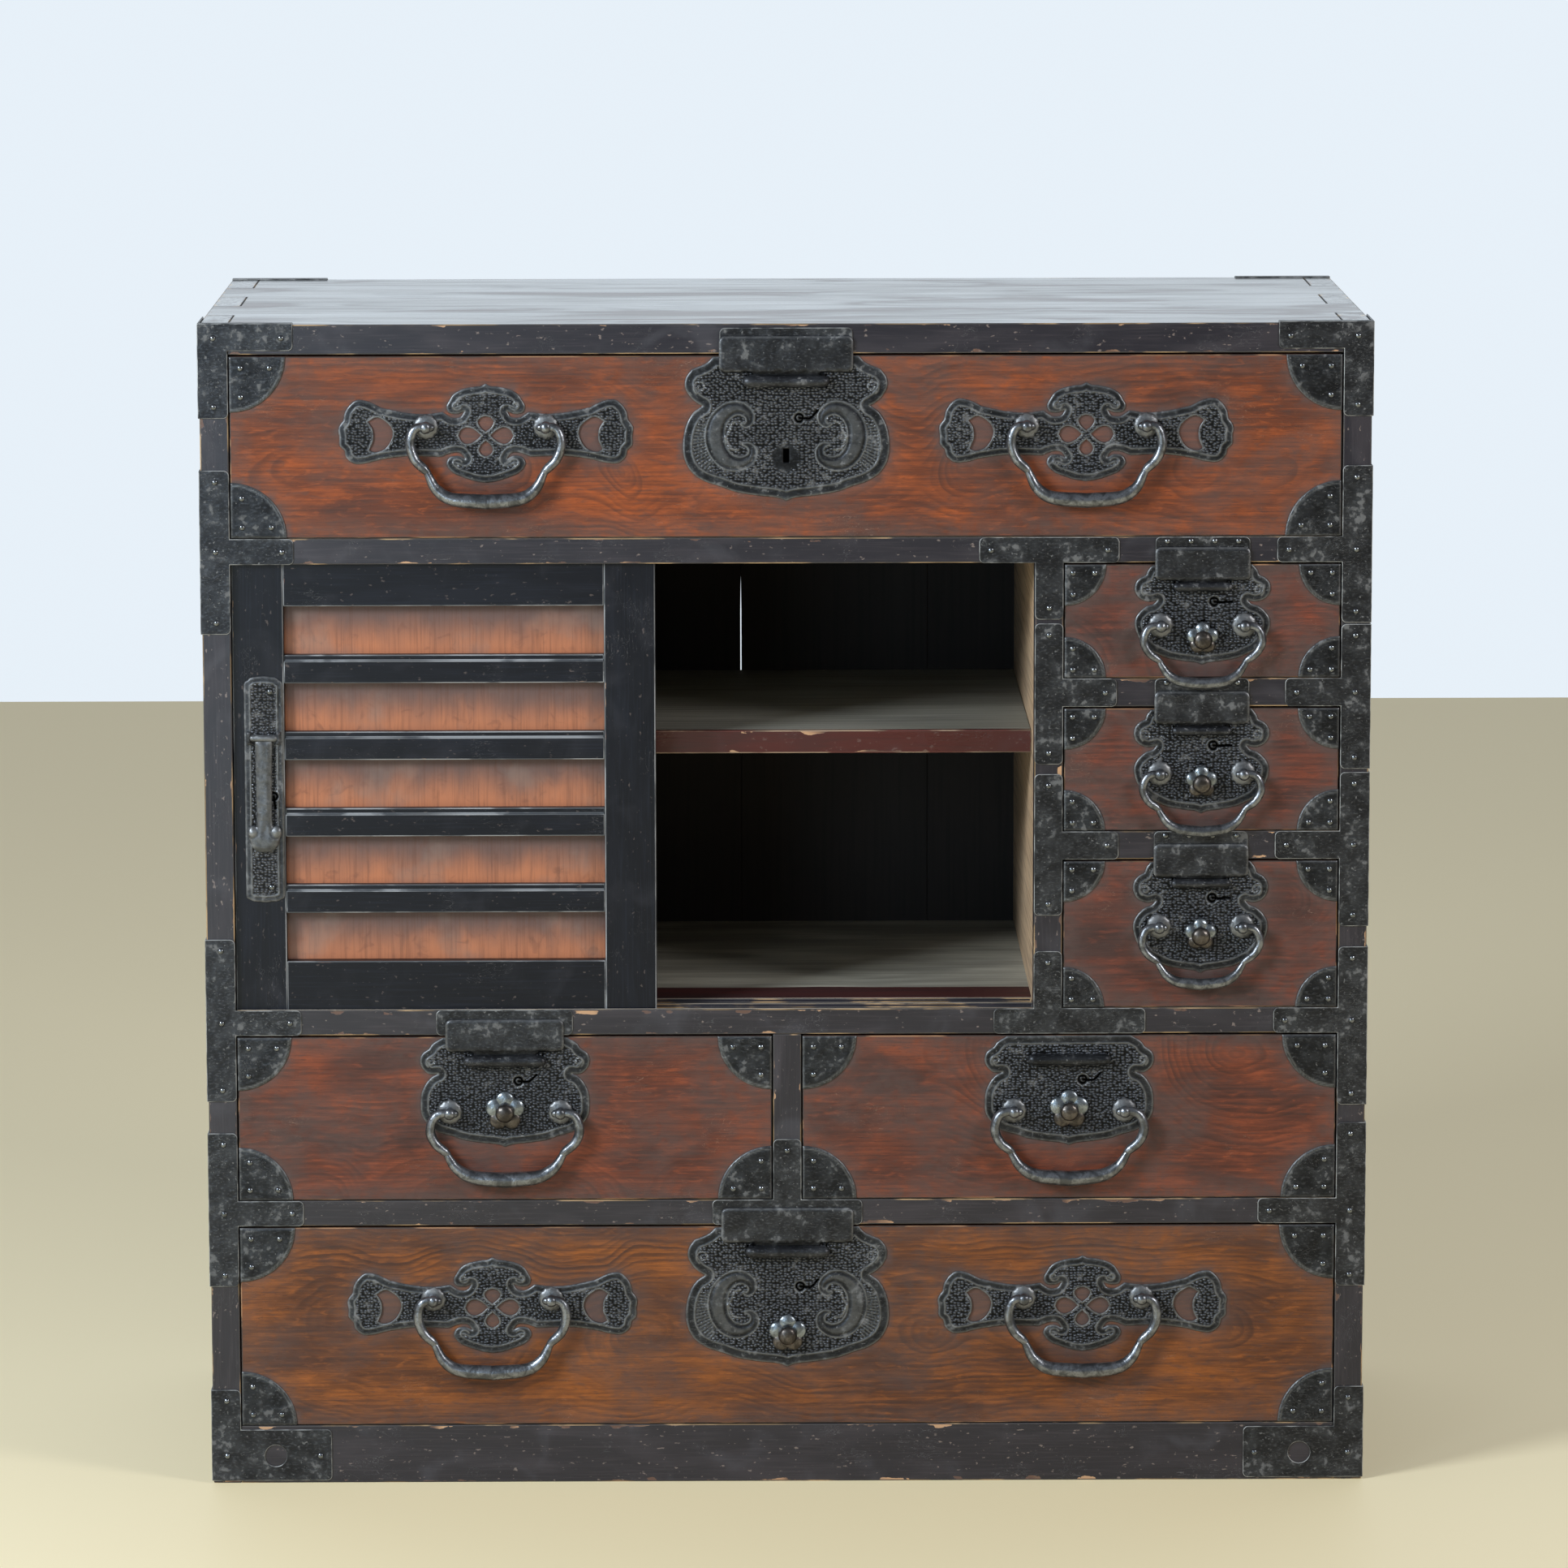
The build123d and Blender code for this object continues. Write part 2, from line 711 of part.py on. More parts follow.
def door_plate():
    """Tall lock plate with domed ends, the lugs and pin of its lever, and two nails."""
    half = door_plate_width / 2
    middle_z = door_plate_top - door_plate_height / 2
    face = Pos(door_plate_x, middle_z) * RectangleRounded(
        door_plate_width, door_plate_height, half - 0.5
    )
    solid = plate(face, door_face_y)
    for sign in (-1, 1):
        start = door_plate_x + sign * (lever_barrel_length / 2 + hinge_lug_gap)
        end = start + sign * hinge_lug_width
        solid += block(
            min(start, end), max(start, end), lever_y - hinge_pin_radius - 1.0, door_plate_y,
            lever_z - lever_barrel_radius, lever_z + lever_barrel_radius,
        )
    reach = lever_barrel_length / 2 + hinge_lug_gap + hinge_lug_width
    solid += rod_x(door_plate_x - reach, door_plate_x + reach, lever_y, lever_z, hinge_pin_radius)
    nails = [
        nail(door_plate_x + half / 3, middle_z + sign * (door_plate_height / 2 - 12), door_plate_y)
        for sign in (-1, 1)
    ]
    return [solid] + nails


def door_lever():
    """Lever that hangs over the keyhole, with a three-lobed end."""
    half = lever_barrel_length / 2
    y0 = lever_y - lever_thickness / 2
    solid = rod_x(door_plate_x - half, door_plate_x + half, lever_y, lever_z, lever_barrel_radius)
    solid += block(
        door_plate_x - lever_width / 2, door_plate_x + lever_width / 2, y0, y0 + lever_thickness,
        lever_z - lever_length, lever_z,
    )
    end_z = lever_z - lever_length
    for dx, dz in ((-lever_lobe_offset, 0), (lever_lobe_offset, 0), (0, -lever_lobe_offset)):
        solid += rod_y(door_plate_x + dx, end_z + dz, y0, y0 + lever_thickness, lever_lobe_radius)
    bore = hinge_pin_radius + pin_clearance
    return solid - rod_x(door_plate_x - half, door_plate_x + half, lever_y, lever_z, bore)


# -------------------------------------------------------------------------------- drawers
def drawer_front(drawer):
    """Front board, with the slot of the knob's stem and the channel of its bolt."""
    x0 = drawer["left"] + drawer_side_gap
    x1 = drawer["right"] - drawer_side_gap
    board = block(x0, x1, face_y, front_back_y, drawer["bottom"], drawer["top"])
    stem_z = drawer["top"] - drawer["knob_drop"]
    reach = knob_stem_radius + bolt_clearance
    slot_top = stem_z + knob_travel + reach
    x = drawer["x"]
    board -= block(x - reach, x + reach, face_y, front_back_y, stem_z - reach, slot_top)
    half = bolt_width / 2 + bolt_clearance
    channel_front = bolt_front_y - bolt_clearance
    channel_low = stem_z - bolt_tail - bolt_clearance
    board -= block(x - half, x + half, channel_front, front_back_y, channel_low, drawer["top"])
    return board


def drawer_box(drawer):
    """Sides, back and bottom of a drawer."""
    x0 = drawer["left"] + 2 * drawer_side_gap
    x1 = drawer["right"] - 2 * drawer_side_gap
    end_y = planks_y - drawer_rear_gap
    low = drawer["bottom"]
    high = drawer["top"] - box_top_drop
    inner_left = x0 + box_thickness
    inner_right = x1 - box_thickness
    back_front = end_y - box_thickness
    floor = low + box_bottom_thickness
    return [
        block(x0, inner_left, front_back_y, end_y, low, high),
        block(inner_right, x1, front_back_y, end_y, low, high),
        block(inner_left, inner_right, back_front, end_y, low, high),
        block(inner_left, inner_right, front_back_y, back_front, low, floor),
    ]


def lock_face(width, height):
    """Lock plate: straight top, eared waist and a pointed ogee foot, the tip at the origin."""
    half = width / 2
    points = [
        (0, 0), (0.30, 0.046), (0.66, 0.092), (0.93, 0.22), (1.0, 0.39), (0.955, 0.55),
        (0.82, 0.685), (0.965, 0.79), (0.82, 0.94), (0.73, 0.975), (0.635, 1.0),
    ]
    places = [(half * x, height * z) for x, z in points]
    edges = [ThreePointArc(*places[i:i + 3]) for i in range(0, len(places) - 2, 2)]
    edges.append(Line(places[-1], (0, height)))
    edges.append(Line((0, height), (0, 0)))
    right = make_face(edges)
    return right + mirror(right, Plane.YZ)


def wide_plate_face():
    """Bail plate of the wide drawers: winged, with two lobes, a pierced cross and crescents."""
    half = wide_plate_width / 2
    rise = wide_plate_height / 2
    points = [
        (0, 1.0), (0.17, 0.90), (0.25, 0.64), (0.235, 0.53), (0.30, 0.47), (0.62, 0.48),
        (0.875, 0.73), (0.96, 0.54), (1.0, 0.22), (1.01, 0.0), (0.975, -0.22), (0.95, -0.42),
        (0.89, -0.55), (0.62, -0.42), (0.30, -0.47), (0.245, -0.53), (0.26, -0.63),
        (0.17, -0.86), (0, -0.96),
    ]
    places = [(half * x, rise * z) for x, z in points]
    edges = [ThreePointArc(*places[i:i + 3]) for i in range(0, len(places) - 2, 2)]
    edges.append(Line(places[-1], places[0]))
    right = make_face(edges)
    face = right + mirror(right, Plane.YZ)
    for sign in (-1, 1):
        face -= Pos(sign * petal_hole_x, 0) * Circle(petal_hole_radius)
        face -= Pos(0, sign * petal_hole_z) * Circle(petal_hole_radius)
        crescent = Pos(sign * crescent_x, 0) * Circle(crescent_radius)
        bite_x = sign * (crescent_x + crescent_bite_offset)
        face -= crescent - Pos(bite_x, 0) * Circle(crescent_bite_radius)
    return face


def bail_post(x, z):
    """Collared post with the cross hole that a bail's end turns in."""
    collar_front = plate_y - post_collar_thickness
    solid = rod_y(x, z, collar_front, plate_y, post_collar_radius)
    solid += rod_y(x, z, pivot_y - post_radius, collar_front, post_radius)
    bore = bail_pin_radius + pin_clearance
    return solid - rod_x(x - post_radius, x + post_radius, pivot_y, z, bore)


def bail_places(drawer):
    """Middle of each bail's pivot axis, in X and Z."""
    if drawer["bail"] != "wide":
        return [(drawer["x"], drawer["top"] - drawer["pivot_drop"])]
    height = rails[drawer["rail"]][0] - drawer["low"]
    z = drawer["low"] + height * drawer["bail_plate_z"] + wide_pivot_rise
    return [(drawer["x"] - wide_bail_x, z), (drawer["x"] + wide_bail_x, z)]


def hinge_lugs(drawer):
    """The two lugs and the pin of a flap, or of what is left of one."""
    z = drawer["top"] - drawer["hinge_drop"]
    x = drawer["x"]
    start = drawer["barrel_length"] / 2 + hinge_lug_gap
    end = start + hinge_lug_width
    front = flap_hinge_y - hinge_pin_radius - 1.0
    shape = rod_x(x - end, x + end, flap_hinge_y, z, hinge_pin_radius)
    low, high = z - hinge_radius, z + hinge_radius
    shape += block(x - end, x - start, front, plate_y, low, high)
    shape += block(x + start, x + end, front, plate_y, low, high)
    return shape


def flap_barrel(drawer):
    z = drawer["top"] - drawer["hinge_drop"]
    half = drawer["barrel_length"] / 2
    return rod_x(drawer["x"] - half, drawer["x"] + half, flap_hinge_y, z, hinge_radius)


def flap_bore(drawer):
    z = drawer["top"] - drawer["hinge_drop"]
    half = drawer["barrel_length"] / 2
    radius = hinge_pin_radius + pin_clearance
    return rod_x(drawer["x"] - half, drawer["x"] + half, flap_hinge_y, z, radius)


def flap(drawer):
    """Flap over the gap between drawer and rail: leaf, neck and hinge barrel."""
    z = drawer["top"] - drawer["hinge_drop"]
    x = drawer["x"]
    leaf_low = z + drawer["flap_low"]
    leaf_high = drawer["top"] + drawer["flap_rise"]
    half = drawer["flap_width"] / 2
    points = [(x - half, leaf_low), (x + half, leaf_low), (x + half, leaf_high),
              (x - half, leaf_high)]
    leaf = plate(outline(points, (0, 1, 2, 3), iron_corner_radius / 2), flap_back_y, flap_thickness)
    neck = drawer["barrel_length"] * neck_share / 2
    flap_front = flap_back_y - flap_thickness
    leaf += block(x - neck, x + neck, flap_front, flap_back_y, z, leaf_low + 1.0)
    return leaf + flap_barrel(drawer) - flap_bore(drawer)


def lock_plate(drawer):
    """Lock plate with keyhole and knob slot, and the flap's lugs and pin."""
    tip_z = drawer["top"] - drawer["plate_height"]
    x = drawer["x"]
    face = Pos(x, tip_z) * lock_face(drawer["plate_width"], drawer["plate_height"])
    key_x = x + drawer["keyhole_x"]
    key_z = drawer["top"] - drawer["keyhole_drop"]
    face -= Pos(key_x, key_z) * Circle(keyhole_radius)
    tail_x = key_x + keyhole_tail_length / 2
    face -= Pos(tail_x, key_z) * Rectangle(keyhole_tail_length, keyhole_tail_width)
    reach = knob_stem_radius + bolt_clearance
    stem_z = drawer["top"] - drawer["knob_drop"]
    slot_z = stem_z + knob_travel / 2
    face -= Pos(x, slot_z) * Rectangle(2 * reach, 2 * reach + knob_travel)
    return plate(face, face_y) + hinge_lugs(drawer)


def corner_places(drawer):
    """The four corners of a drawer's front, and the inward direction from each."""
    x0 = drawer["left"] + drawer_side_gap
    x1 = drawer["right"] - drawer_side_gap
    return [
        (x, z, 1 if x == x0 else -1, 1 if z == drawer["bottom"] else -1)
        for x in (x0, x1)
        for z in (drawer["bottom"], drawer["top"])
    ]


def corner_plate(x, z, sx, sz, radius):
    """Quarter-round plate on a drawer's corner."""
    square = Pos(x + sx * radius / 2, z + sz * radius / 2) * Rectangle(radius, radius)
    return plate((Pos(x, z) * Circle(radius)) & square, face_y)


def drawer_irons(drawer):
    shapes = [lock_plate(drawer)]
    if not drawer["flap"]:
        shapes.append(flap_barrel(drawer) - flap_bore(drawer))
    radius = drawer["corner"]
    near, far = 0.2 * radius, 0.72 * radius
    for x, z, sx, sz in corner_places(drawer):
        shapes.append(corner_plate(x, z, sx, sz, radius))
        for dx, dz in ((near, near), (far, near), (near, far)):
            shapes.append(nail(x + sx * dx, z + sz * dz, plate_y))
    kind = bail_kinds[drawer["bail"]]
    for x, z in bail_places(drawer):
        if drawer["bail"] == "wide":
            face = Pos(x, z - wide_pivot_rise) * wide_plate_face()
            shapes.append(plate(face, face_y))
        for sign in (-1, 1):
            shapes.append(bail_post(x + sign * kind["post_x"], z))
    cover_low = drawer["top"] - drawer["knob_drop"] - lock_cover_tail
    half = lock_cover_width / 2
    cover_back = front_back_y + lock_cover_thickness
    x = drawer["x"]
    shapes.append(
        block(x - half, x + half, front_back_y, cover_back, cover_low, drawer["top"] - 2.0)
    )
    return shapes


def knob(drawer):
    """Flower knob with its stem, and the bolt behind the plate."""
    x = drawer["x"]
    z = drawer["top"] - drawer["knob_drop"]
    radius = drawer["knob_radius"]
    petal = radius * 0.42
    flower_back = plate_y - knob_gap
    flower_front = flower_back - knob_flower_thickness
    flower = rod_y(x, z, flower_front, flower_back, radius - petal)
    for index in range(knob_petals):
        place = Vector(radius - petal, 0).rotate(Axis.Z, 90 + 360 * index / knob_petals)
        flower += rod_y(x + place.X, z + place.Y, flower_front, flower_back, petal)
    flower += Pos(x, flower_front, z) * Sphere(knob_ball_radius)
    flower -= block(x - radius, x + radius, flower_back, flower_back + 20, z - radius, z + radius)
    flower += rod_y(x, z, flower_back - 1.0, bolt_front_y, knob_stem_radius)
    half = bolt_width / 2
    bolt_top = drawer["top"] - bolt_end_gap
    bolt_back = bolt_front_y + bolt_thickness
    return [flower, block(x - half, x + half, bolt_front_y, bolt_back, z - bolt_tail, bolt_top)]


def bail(kind, x, z):
    """Bail hanging from its posts: two pins, two bent arms and a thicker grip."""
    bend_start = kind["post_x"] + post_radius + 1.5
    pin_start = kind["post_x"] - post_radius - 1.0
    arm = ThreePointArc(
        (bend_start, 0), (kind["reach"], -kind["reach_drop"]), (kind["cusp_x"], -kind["cusp_drop"])
    )
    side = sweep(Plane(arm @ 0, z_dir=arm % 0) * Circle(kind["arm_radius"]), arm)
    side += Pos(bend_start, 0, 0) * Sphere(kind["arm_radius"])
    pin_length = bend_start - pin_start
    pin_middle = Pos((bend_start + pin_start) / 2, 0, 0)
    side += pin_middle * Rot(0, 90, 0) * Cylinder(bail_pin_radius, pin_length)
    bend = (kind["grip_bend_x"], -kind["grip_bend_drop"])
    middle = ThreePointArc((-bend[0], bend[1]), (0, -kind["grip_drop"]), bend)
    rise = TangentArc(bend, (kind["grip_x"], -kind["grip_top"]), tangent=middle % 1)
    fall = mirror(rise, Plane.YZ)
    path = Wire([fall.edge(), middle.edge(), rise.edge()])
    grip = sweep(Plane(path @ 0, z_dir=path % 0) * Circle(kind["grip_radius"]), path)
    flat = grip + side + mirror(side, Plane.YZ)
    return Plane((x, pivot_y, z), x_dir=(1, 0, 0), z_dir=(0, -1, 0)) * flat


# ------------------------------------------------------------------------------- the nodes
def main():
    os.makedirs("parts", exist_ok=True)
    write("side_panel_left", [side_panel()])
    write("side_panel_right", [mirrored(side_panel())])
    write("top_board", [top_board()])
    bottom_low = base_height - bottom_board_thickness
    bottom_front = front_y + base_rail_depth
    write(
        "bottom_board",
        [block(-inner_x, inner_x, bottom_front, planks_y, bottom_low, base_height)],
    )
    write("base_frame", base_frame())
    write("back_planks", back_planks())
    write("front_rails", front_rails())
    write("door_tracks", door_tracks())
    write("dust_boards", dust_boards())
    write("partitions", partitions())
    write("compartment_shelf", shelf())
    write("case_irons", case_irons() + case_nails())

    write("door_front_frame", door_frame(front_groove_y))
    write("door_front_panel", [door_panel(front_groove_y)])
    write("door_front_plate", door_plate())
    write("door_lever", [door_lever()])
    write("door_rear_frame", door_frame(rear_groove_y))
    write("door_rear_panel", [door_panel(rear_groove_y)])

    for name, drawer in drawers.items():
        write(f"drawer_{name}_front", [drawer_front(drawer)])
        write(f"drawer_{name}_box", drawer_box(drawer))
        write(f"drawer_{name}_irons", drawer_irons(drawer))
        if drawer["flap"]:
            write(f"flap_{name}", [flap(drawer)])
        if drawer["knob"]:
            write(f"knob_{name}", knob(drawer))
        places = bail_places(drawer)
        ends = ("_left", "_right") if len(places) == 2 else ("",)
        for end, (x, z) in zip(ends, places):
            write(f"bail_{name}{end}", [bail(bail_kinds[drawer["bail"]], x, z)])


main()
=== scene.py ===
"""Looks of the isho clothing chest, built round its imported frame.

Shapes are worked out in millimetres in the row frame and stored in metres. X is the chest's
width, Y its depth with the front at the lowest Y, and Z its height.
"""

import math
import random

import bmesh
import bpy
import numpy as np
from mathutils import Matrix, Vector
from mathutils.geometry import delaunay_2d_cdt


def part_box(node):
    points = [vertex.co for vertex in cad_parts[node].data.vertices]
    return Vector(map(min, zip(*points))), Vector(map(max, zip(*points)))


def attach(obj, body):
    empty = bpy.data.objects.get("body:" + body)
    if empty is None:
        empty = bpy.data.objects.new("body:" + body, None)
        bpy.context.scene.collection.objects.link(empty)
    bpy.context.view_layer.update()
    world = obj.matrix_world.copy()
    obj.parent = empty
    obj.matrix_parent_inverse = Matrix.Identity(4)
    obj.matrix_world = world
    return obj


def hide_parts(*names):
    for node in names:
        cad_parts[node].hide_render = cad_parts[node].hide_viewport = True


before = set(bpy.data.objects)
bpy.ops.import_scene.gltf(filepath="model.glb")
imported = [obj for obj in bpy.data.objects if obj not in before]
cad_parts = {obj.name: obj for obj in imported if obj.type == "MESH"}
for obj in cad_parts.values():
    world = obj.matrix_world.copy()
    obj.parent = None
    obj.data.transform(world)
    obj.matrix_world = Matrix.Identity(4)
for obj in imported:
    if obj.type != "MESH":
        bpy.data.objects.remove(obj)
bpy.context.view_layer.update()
MM = 0.001

# ------------------------------------------------------------------------------------- sizes
EASED_EDGE = 0.9            # width of a board's worn arris
EASED_IRON = 0.55           # the same on a strap
RELIEF_STEP = 0.82          # spacing of the points on an ornamental plate
FINE_STEP = 0.42            # the same round a keyhole
OUTLINE_STEP = 1.0          # the same along an outline
STAIN_AND_SHEEN_STEP = 6.0            # the same on a drawer front
CRACK_X = -34.0             # where a joint of the back planks has opened
CRACK_HEIGHTS = (516.0, 646.0)
CRACK_WIDTH = 0.9
CRACK_STEP = 30.0
RED_STRIP = 46.0            # depth of the compartment floor's lacquered front strip
STAIN_AND_SHEEN_REACH = 9.0           # how far the irons darken the wood round them, by staining and a painted sheen of light
IRON = 1.2                  # plate thickness
PIVOT_STANDOFF = 8.5        # bail pivot in front of its plate
RIM = 5.2                   # smooth band round a bail plate
CORNER_RIM = 2.2            # the same on a corner plate
NAIL_RADIUS = 2.4
NAIL_RISE = 1.7
NAIL_REACH = 6.0            # a solid smaller than this every way is a nail
PLATE_DEPTH = 2.0           # and a square one no deeper than this and
PLATE_WIDTH = 25.0          # wider than this is a corner plate
POST_DEPTH = 8.0            # a square one deeper than this is a bail's post
COVER_DEPTH = 5.0           # one that lies this far behind the drawer's face is a lock's cover
POST_REACH = 60.0           # a bail's posts lie within this of its middle
LIP_DEPTH = 20.0            # the shelf's lip is less deep than this
POST_EDGE = 50.0            # a lacquered post is less deep than this
SLAT_HEIGHT = 30.0          # a door's slat is less high than this
SILL_CLEAR = 100.0          # the sill is the track at least this far below the shelf
BOLT_DEPTH = 5.6            # depth of a knob's bolt, at the node's rear end
RAIL_NAILS = 30.0           # how far above a drawer its flap hides the rail's nails
# The door's lever: its lugs' height and distance from the middle, half its barrel's length,
# the axis below its top, the middle of its foot above its lowest point, and the keyhole and
# nails of its plate.
LUG_RISE, LUG_STEP = 4.2, 11.4
LEVER_HALF, LEVER_AXIS, LEVER_FOOT = 8.4, 2.3, 11.5
DOOR_KEY, DOOR_NAIL = (7, 46), (5, 12)
KEY_RING, KEY_COLLAR = 2.9, 4.6     # radii of a keyhole's ring and of the ridge round it
DENT_WAVES = 7              # how many waves make a plate uneven
NO_HOLE = 99.0              # distance to the nearest hole of a plate that has none
BACK_RUB = 0.3              # how rubbed a plate's back is
ROUND_STEPS = 7             # points along a rounded corner
FLAT_ANGLE, SHARP_ANGLE = math.radians(1), math.radians(35)  # faces merged, edges eased
OUTLINE_CLEAR = 0.45        # how near an outline other points may lie, in steps
ROW_SHARE = 0.866           # distance of a triangular grid's rows, in steps
MEASURED_AT_ONCE = 3000     # points, to save memory
NEAR = 1.0                  # places closer than this are the same joint
ON_TOP = 0.01               # a face within this of a board's top lies on it

# Each drawer's kind and the height of its lock plate; by kind, the plate's width and the place
# of its keyhole from the middle and from the top.
DRAWERS = {
    "small_upper": ("small", 78), "small_middle": ("small", 82), "small_lower": ("small", 88),
    "half_left": ("half", 87), "half_right": ("half", 87), "top": ("wide", 112),
    "bottom": ("wide", 112),
}
LOCK_WIDTH = {"small": 105, "half": 132, "wide": 161}
KEY = {"small": (9.0, 29.0), "half": (10.5, 35.0), "wide": (10.0, 48.0)}
BARREL_LENGTH = {"small": 40.0, "half": 56.0, "wide": 58.0}
HINGE_DROP = {"small": 17.0, "half": 18.5, "wide": 19.5}
HINGE_RADIUS = {"small": 3.3, "half": 4.5, "wide": 4.5}
HINGE_STANDOFF = 3.4
PIN_OVERHANG, SLIT_OVERHANG = 1.4, 1.6  # how far the pin and the lugs' slits lie past a barrel
NECK_SHARE = 0.44                       # half of a flap's neck, as a share of its barrel
FLAP_LOW = {"small": 4.5, "half": 7.0, "wide": 6.8}     # leaf's foot above the hinge
FLAP_GAP, FLAP_THICK, FLAP_CORNER = 0.9, 1.6, 4.6
KEY_BEND = {"small": 0.0, "half": 5.0, "wide": 5.5}     # rise of the key slot's tail
KNOB_DROP = {"small": 57.0, "half": 58.0, "wide": 84.5}     # knob below the drawer's top
PETAL_RADIUS = {"small": 5.6, "half": 6.9, "wide": 6.6}
PETAL_COUNT, PETAL_RING = 5, 1.20   # how many, and their middles' distance in petal radii
PETALS_PAINTED_LIT = (0, 1, 4)           # the petals, from the top, that get the lighter iron as painted light from above; the lower ones get the darker rusty iron as rust and painted shade
KNOB_DEPTH = 12.0                   # from the ball's front to the back of the petals
TOP_SLOT = (79.0, 5.0, 11.0)        # drop, width and height of the top drawer's bare slot
SMALL_SLIT = (0.4, 43.5, 1.9, 0.7)  # a small lock's slit: side step, drop, half its sides

# Bails, from the middle of the pivot axis: posts, the points of an arm and of half the grip.
BAILS = {
    "small": {
        "post": 32.3,
        "arm": [(28.5, 0), (38.5, 0.2), (43.6, -3.5), (45.6, -12), (41.5, -20.5), (34.2, -26.2),
                (31.0, -29.5)],
        "grip": [(35.2, -23.8), (31.6, -30.5), (26.5, -37.5), (17.5, -42.6), (0, -44.8)],
        "arm_radius": 2.9, "grip_radius": 4.4,
    },
    "half": {
        "post": 43.0,
        "arm": [(39, 0), (49.5, 0.2), (55.6, -4.0), (58.0, -14), (54.2, -23.5), (46.5, -30.2),
                (42.5, -34.5)],
        "grip": [(47.2, -27.8), (43.6, -35), (37.5, -43.5), (25, -50.3), (0, -52.8)],
        "arm_radius": 3.4, "grip_radius": 5.9,
    },
    "wide": {
        "post": 46.0,
        "arm": [(42, 0), (51.5, 0.2), (56.2, -4.0), (57.8, -14), (54.0, -25), (46.6, -32.4),
                (42.5, -37.0)],
        "grip": [(47.2, -29.8), (43.8, -37), (38.0, -47.5), (26, -55), (0, -57.4)],
        "arm_radius": 3.4, "grip_radius": 5.8,
    },
}
WIDE_PIVOT_RISE = 7.0               # bail pivot above the middle of a wide bail plate

# Outlines of the right half of a lock, in shares of half its width and of its height, as runs
# that meet at cusps.
LOWER_RUNS = [
    [(0, 0), (0.09, 0.022), (0.28, 0.038), (0.48, 0.062), (0.63, 0.10)],
]
LOCK_RUNS = {
    "wide": LOWER_RUNS + [
        [(0.63, 0.10), (0.79, 0.14), (0.91, 0.205), (0.975, 0.30), (0.985, 0.41), (0.955, 0.52),
         (0.89, 0.605), (0.80, 0.655)],
        [(0.80, 0.655), (0.865, 0.683), (0.925, 0.728), (0.965, 0.787), (0.955, 0.85),
         (0.90, 0.906)],
        [(0.90, 0.906), (0.76, 0.95), (0.69, 1.0)],
    ],
    "half": LOWER_RUNS + [
        [(0.63, 0.10), (0.80, 0.14), (0.92, 0.215), (0.985, 0.30), (0.995, 0.41),
         (0.98, 0.50), (0.925, 0.585), (0.86, 0.64), (0.79, 0.665)],
        [(0.79, 0.665), (0.89, 0.664), (0.97, 0.715), (1.0, 0.785), (0.97, 0.85), (0.89, 0.895)],
        [(0.89, 0.895), (0.84, 0.945), (0.72, 1.0)],
    ],
    "small": LOWER_RUNS + [
        [(0.63, 0.10), (0.80, 0.16), (0.93, 0.27), (0.99, 0.38), (0.985, 0.46), (0.92, 0.53),
         (0.82, 0.583), (0.72, 0.607), (0.665, 0.645)],
        [(0.665, 0.645), (0.73, 0.632), (0.82, 0.632), (0.93, 0.665), (0.995, 0.737),
         (0.985, 0.812), (0.92, 0.865), (0.83, 0.895)],
        [(0.83, 0.895), (0.80, 0.945), (0.73, 1.0)],
    ],
}
# An ear's curl: its middle in the same shares, and its radius in millimetres.
EAR_CURL = {"wide": (0.82, 0.785, 5.6), "half": (0.87, 0.775, 4.2), "small": (0.82, 0.745, 4.6)}
LOCK_RIM = {"wide": 6.8, "half": 6.0, "small": 5.4}
# Outline of a wide bail plate, its right half from the bottom up, in millimetres.
WIDE_RUNS = [
    [(0, -36.4), (7.5, -35.4), (15.5, -33.0)],
    [(15.5, -33.0), (25.0, -29.0), (30.3, -22.5), (28.0, -16.8), (21.5, -15.6), (16.0, -18.0)],
    [(16.0, -18.0), (19.5, -13.6), (26.0, -13.4), (34.0, -16.4)],
    [(34.0, -16.4), (60.0, -15.8), (80.0, -18.3), (92.0, -21.2), (101.0, -21.6),
     (107.0, -17.0), (108.6, -11.5)],
    [(108.6, -11.5), (112.3, -7.5), (112.4, -1.0)],
    [(112.4, -1.0), (113.0, 6.0), (109.3, 11.8)],
    [(109.3, 11.8), (107.8, 18.5), (104.0, 24.0), (98.5, 27.6), (90.0, 26.4), (80.0, 21.6)],
    [(80.0, 21.6), (62.0, 17.8), (46.0, 16.6), (33.0, 18.2)],
    [(33.0, 18.2), (26.0, 13.9), (19.5, 14.4), (16.5, 18.6)],
    [(16.5, 18.6), (22.0, 16.6), (28.4, 17.6), (30.2, 22.5), (27.6, 27.6)],
    [(27.6, 27.6), (24.5, 32.0), (18.0, 35.6), (9.0, 37.6), (4.0, 38.0), (0, 40.0)],
]
# Right-hand scroll of a wide lock, from the plate's tip: places along it and half its width.
SCROLL = [
    (32.6, 43.8, 0.9), (28.6, 43.0, 2.0), (25.8, 39.0, 3.0), (27.6, 32.8, 3.9), (35.4, 29.0, 5.2),
    (45.0, 30.8, 6.4), (52.0, 38.6, 7.2), (54.6, 49.6, 7.6), (52.6, 60.6, 7.0),
    (45.8, 69.0, 6.0), (36.6, 71.8, 5.0), (29.0, 67.6, 3.9), (27.8, 61.8, 2.8),
    (31.0, 58.4, 1.6), (34.0, 59.4, 0.9),
]
SCROLL_BRACKET = [
    [(37.0, 61.6), (41.6, 59.8), (43.4, 54.6), (46.4, 49.4)],
    [(46.4, 49.4), (44.2, 44.0), (42.2, 40.4), (37.0, 39.4)],
]
HATCH_RING = (24, 60)       # radii between which short cuts go round the middle of a scroll
HATCH_CUTS = 84             # how many there are to a full turn
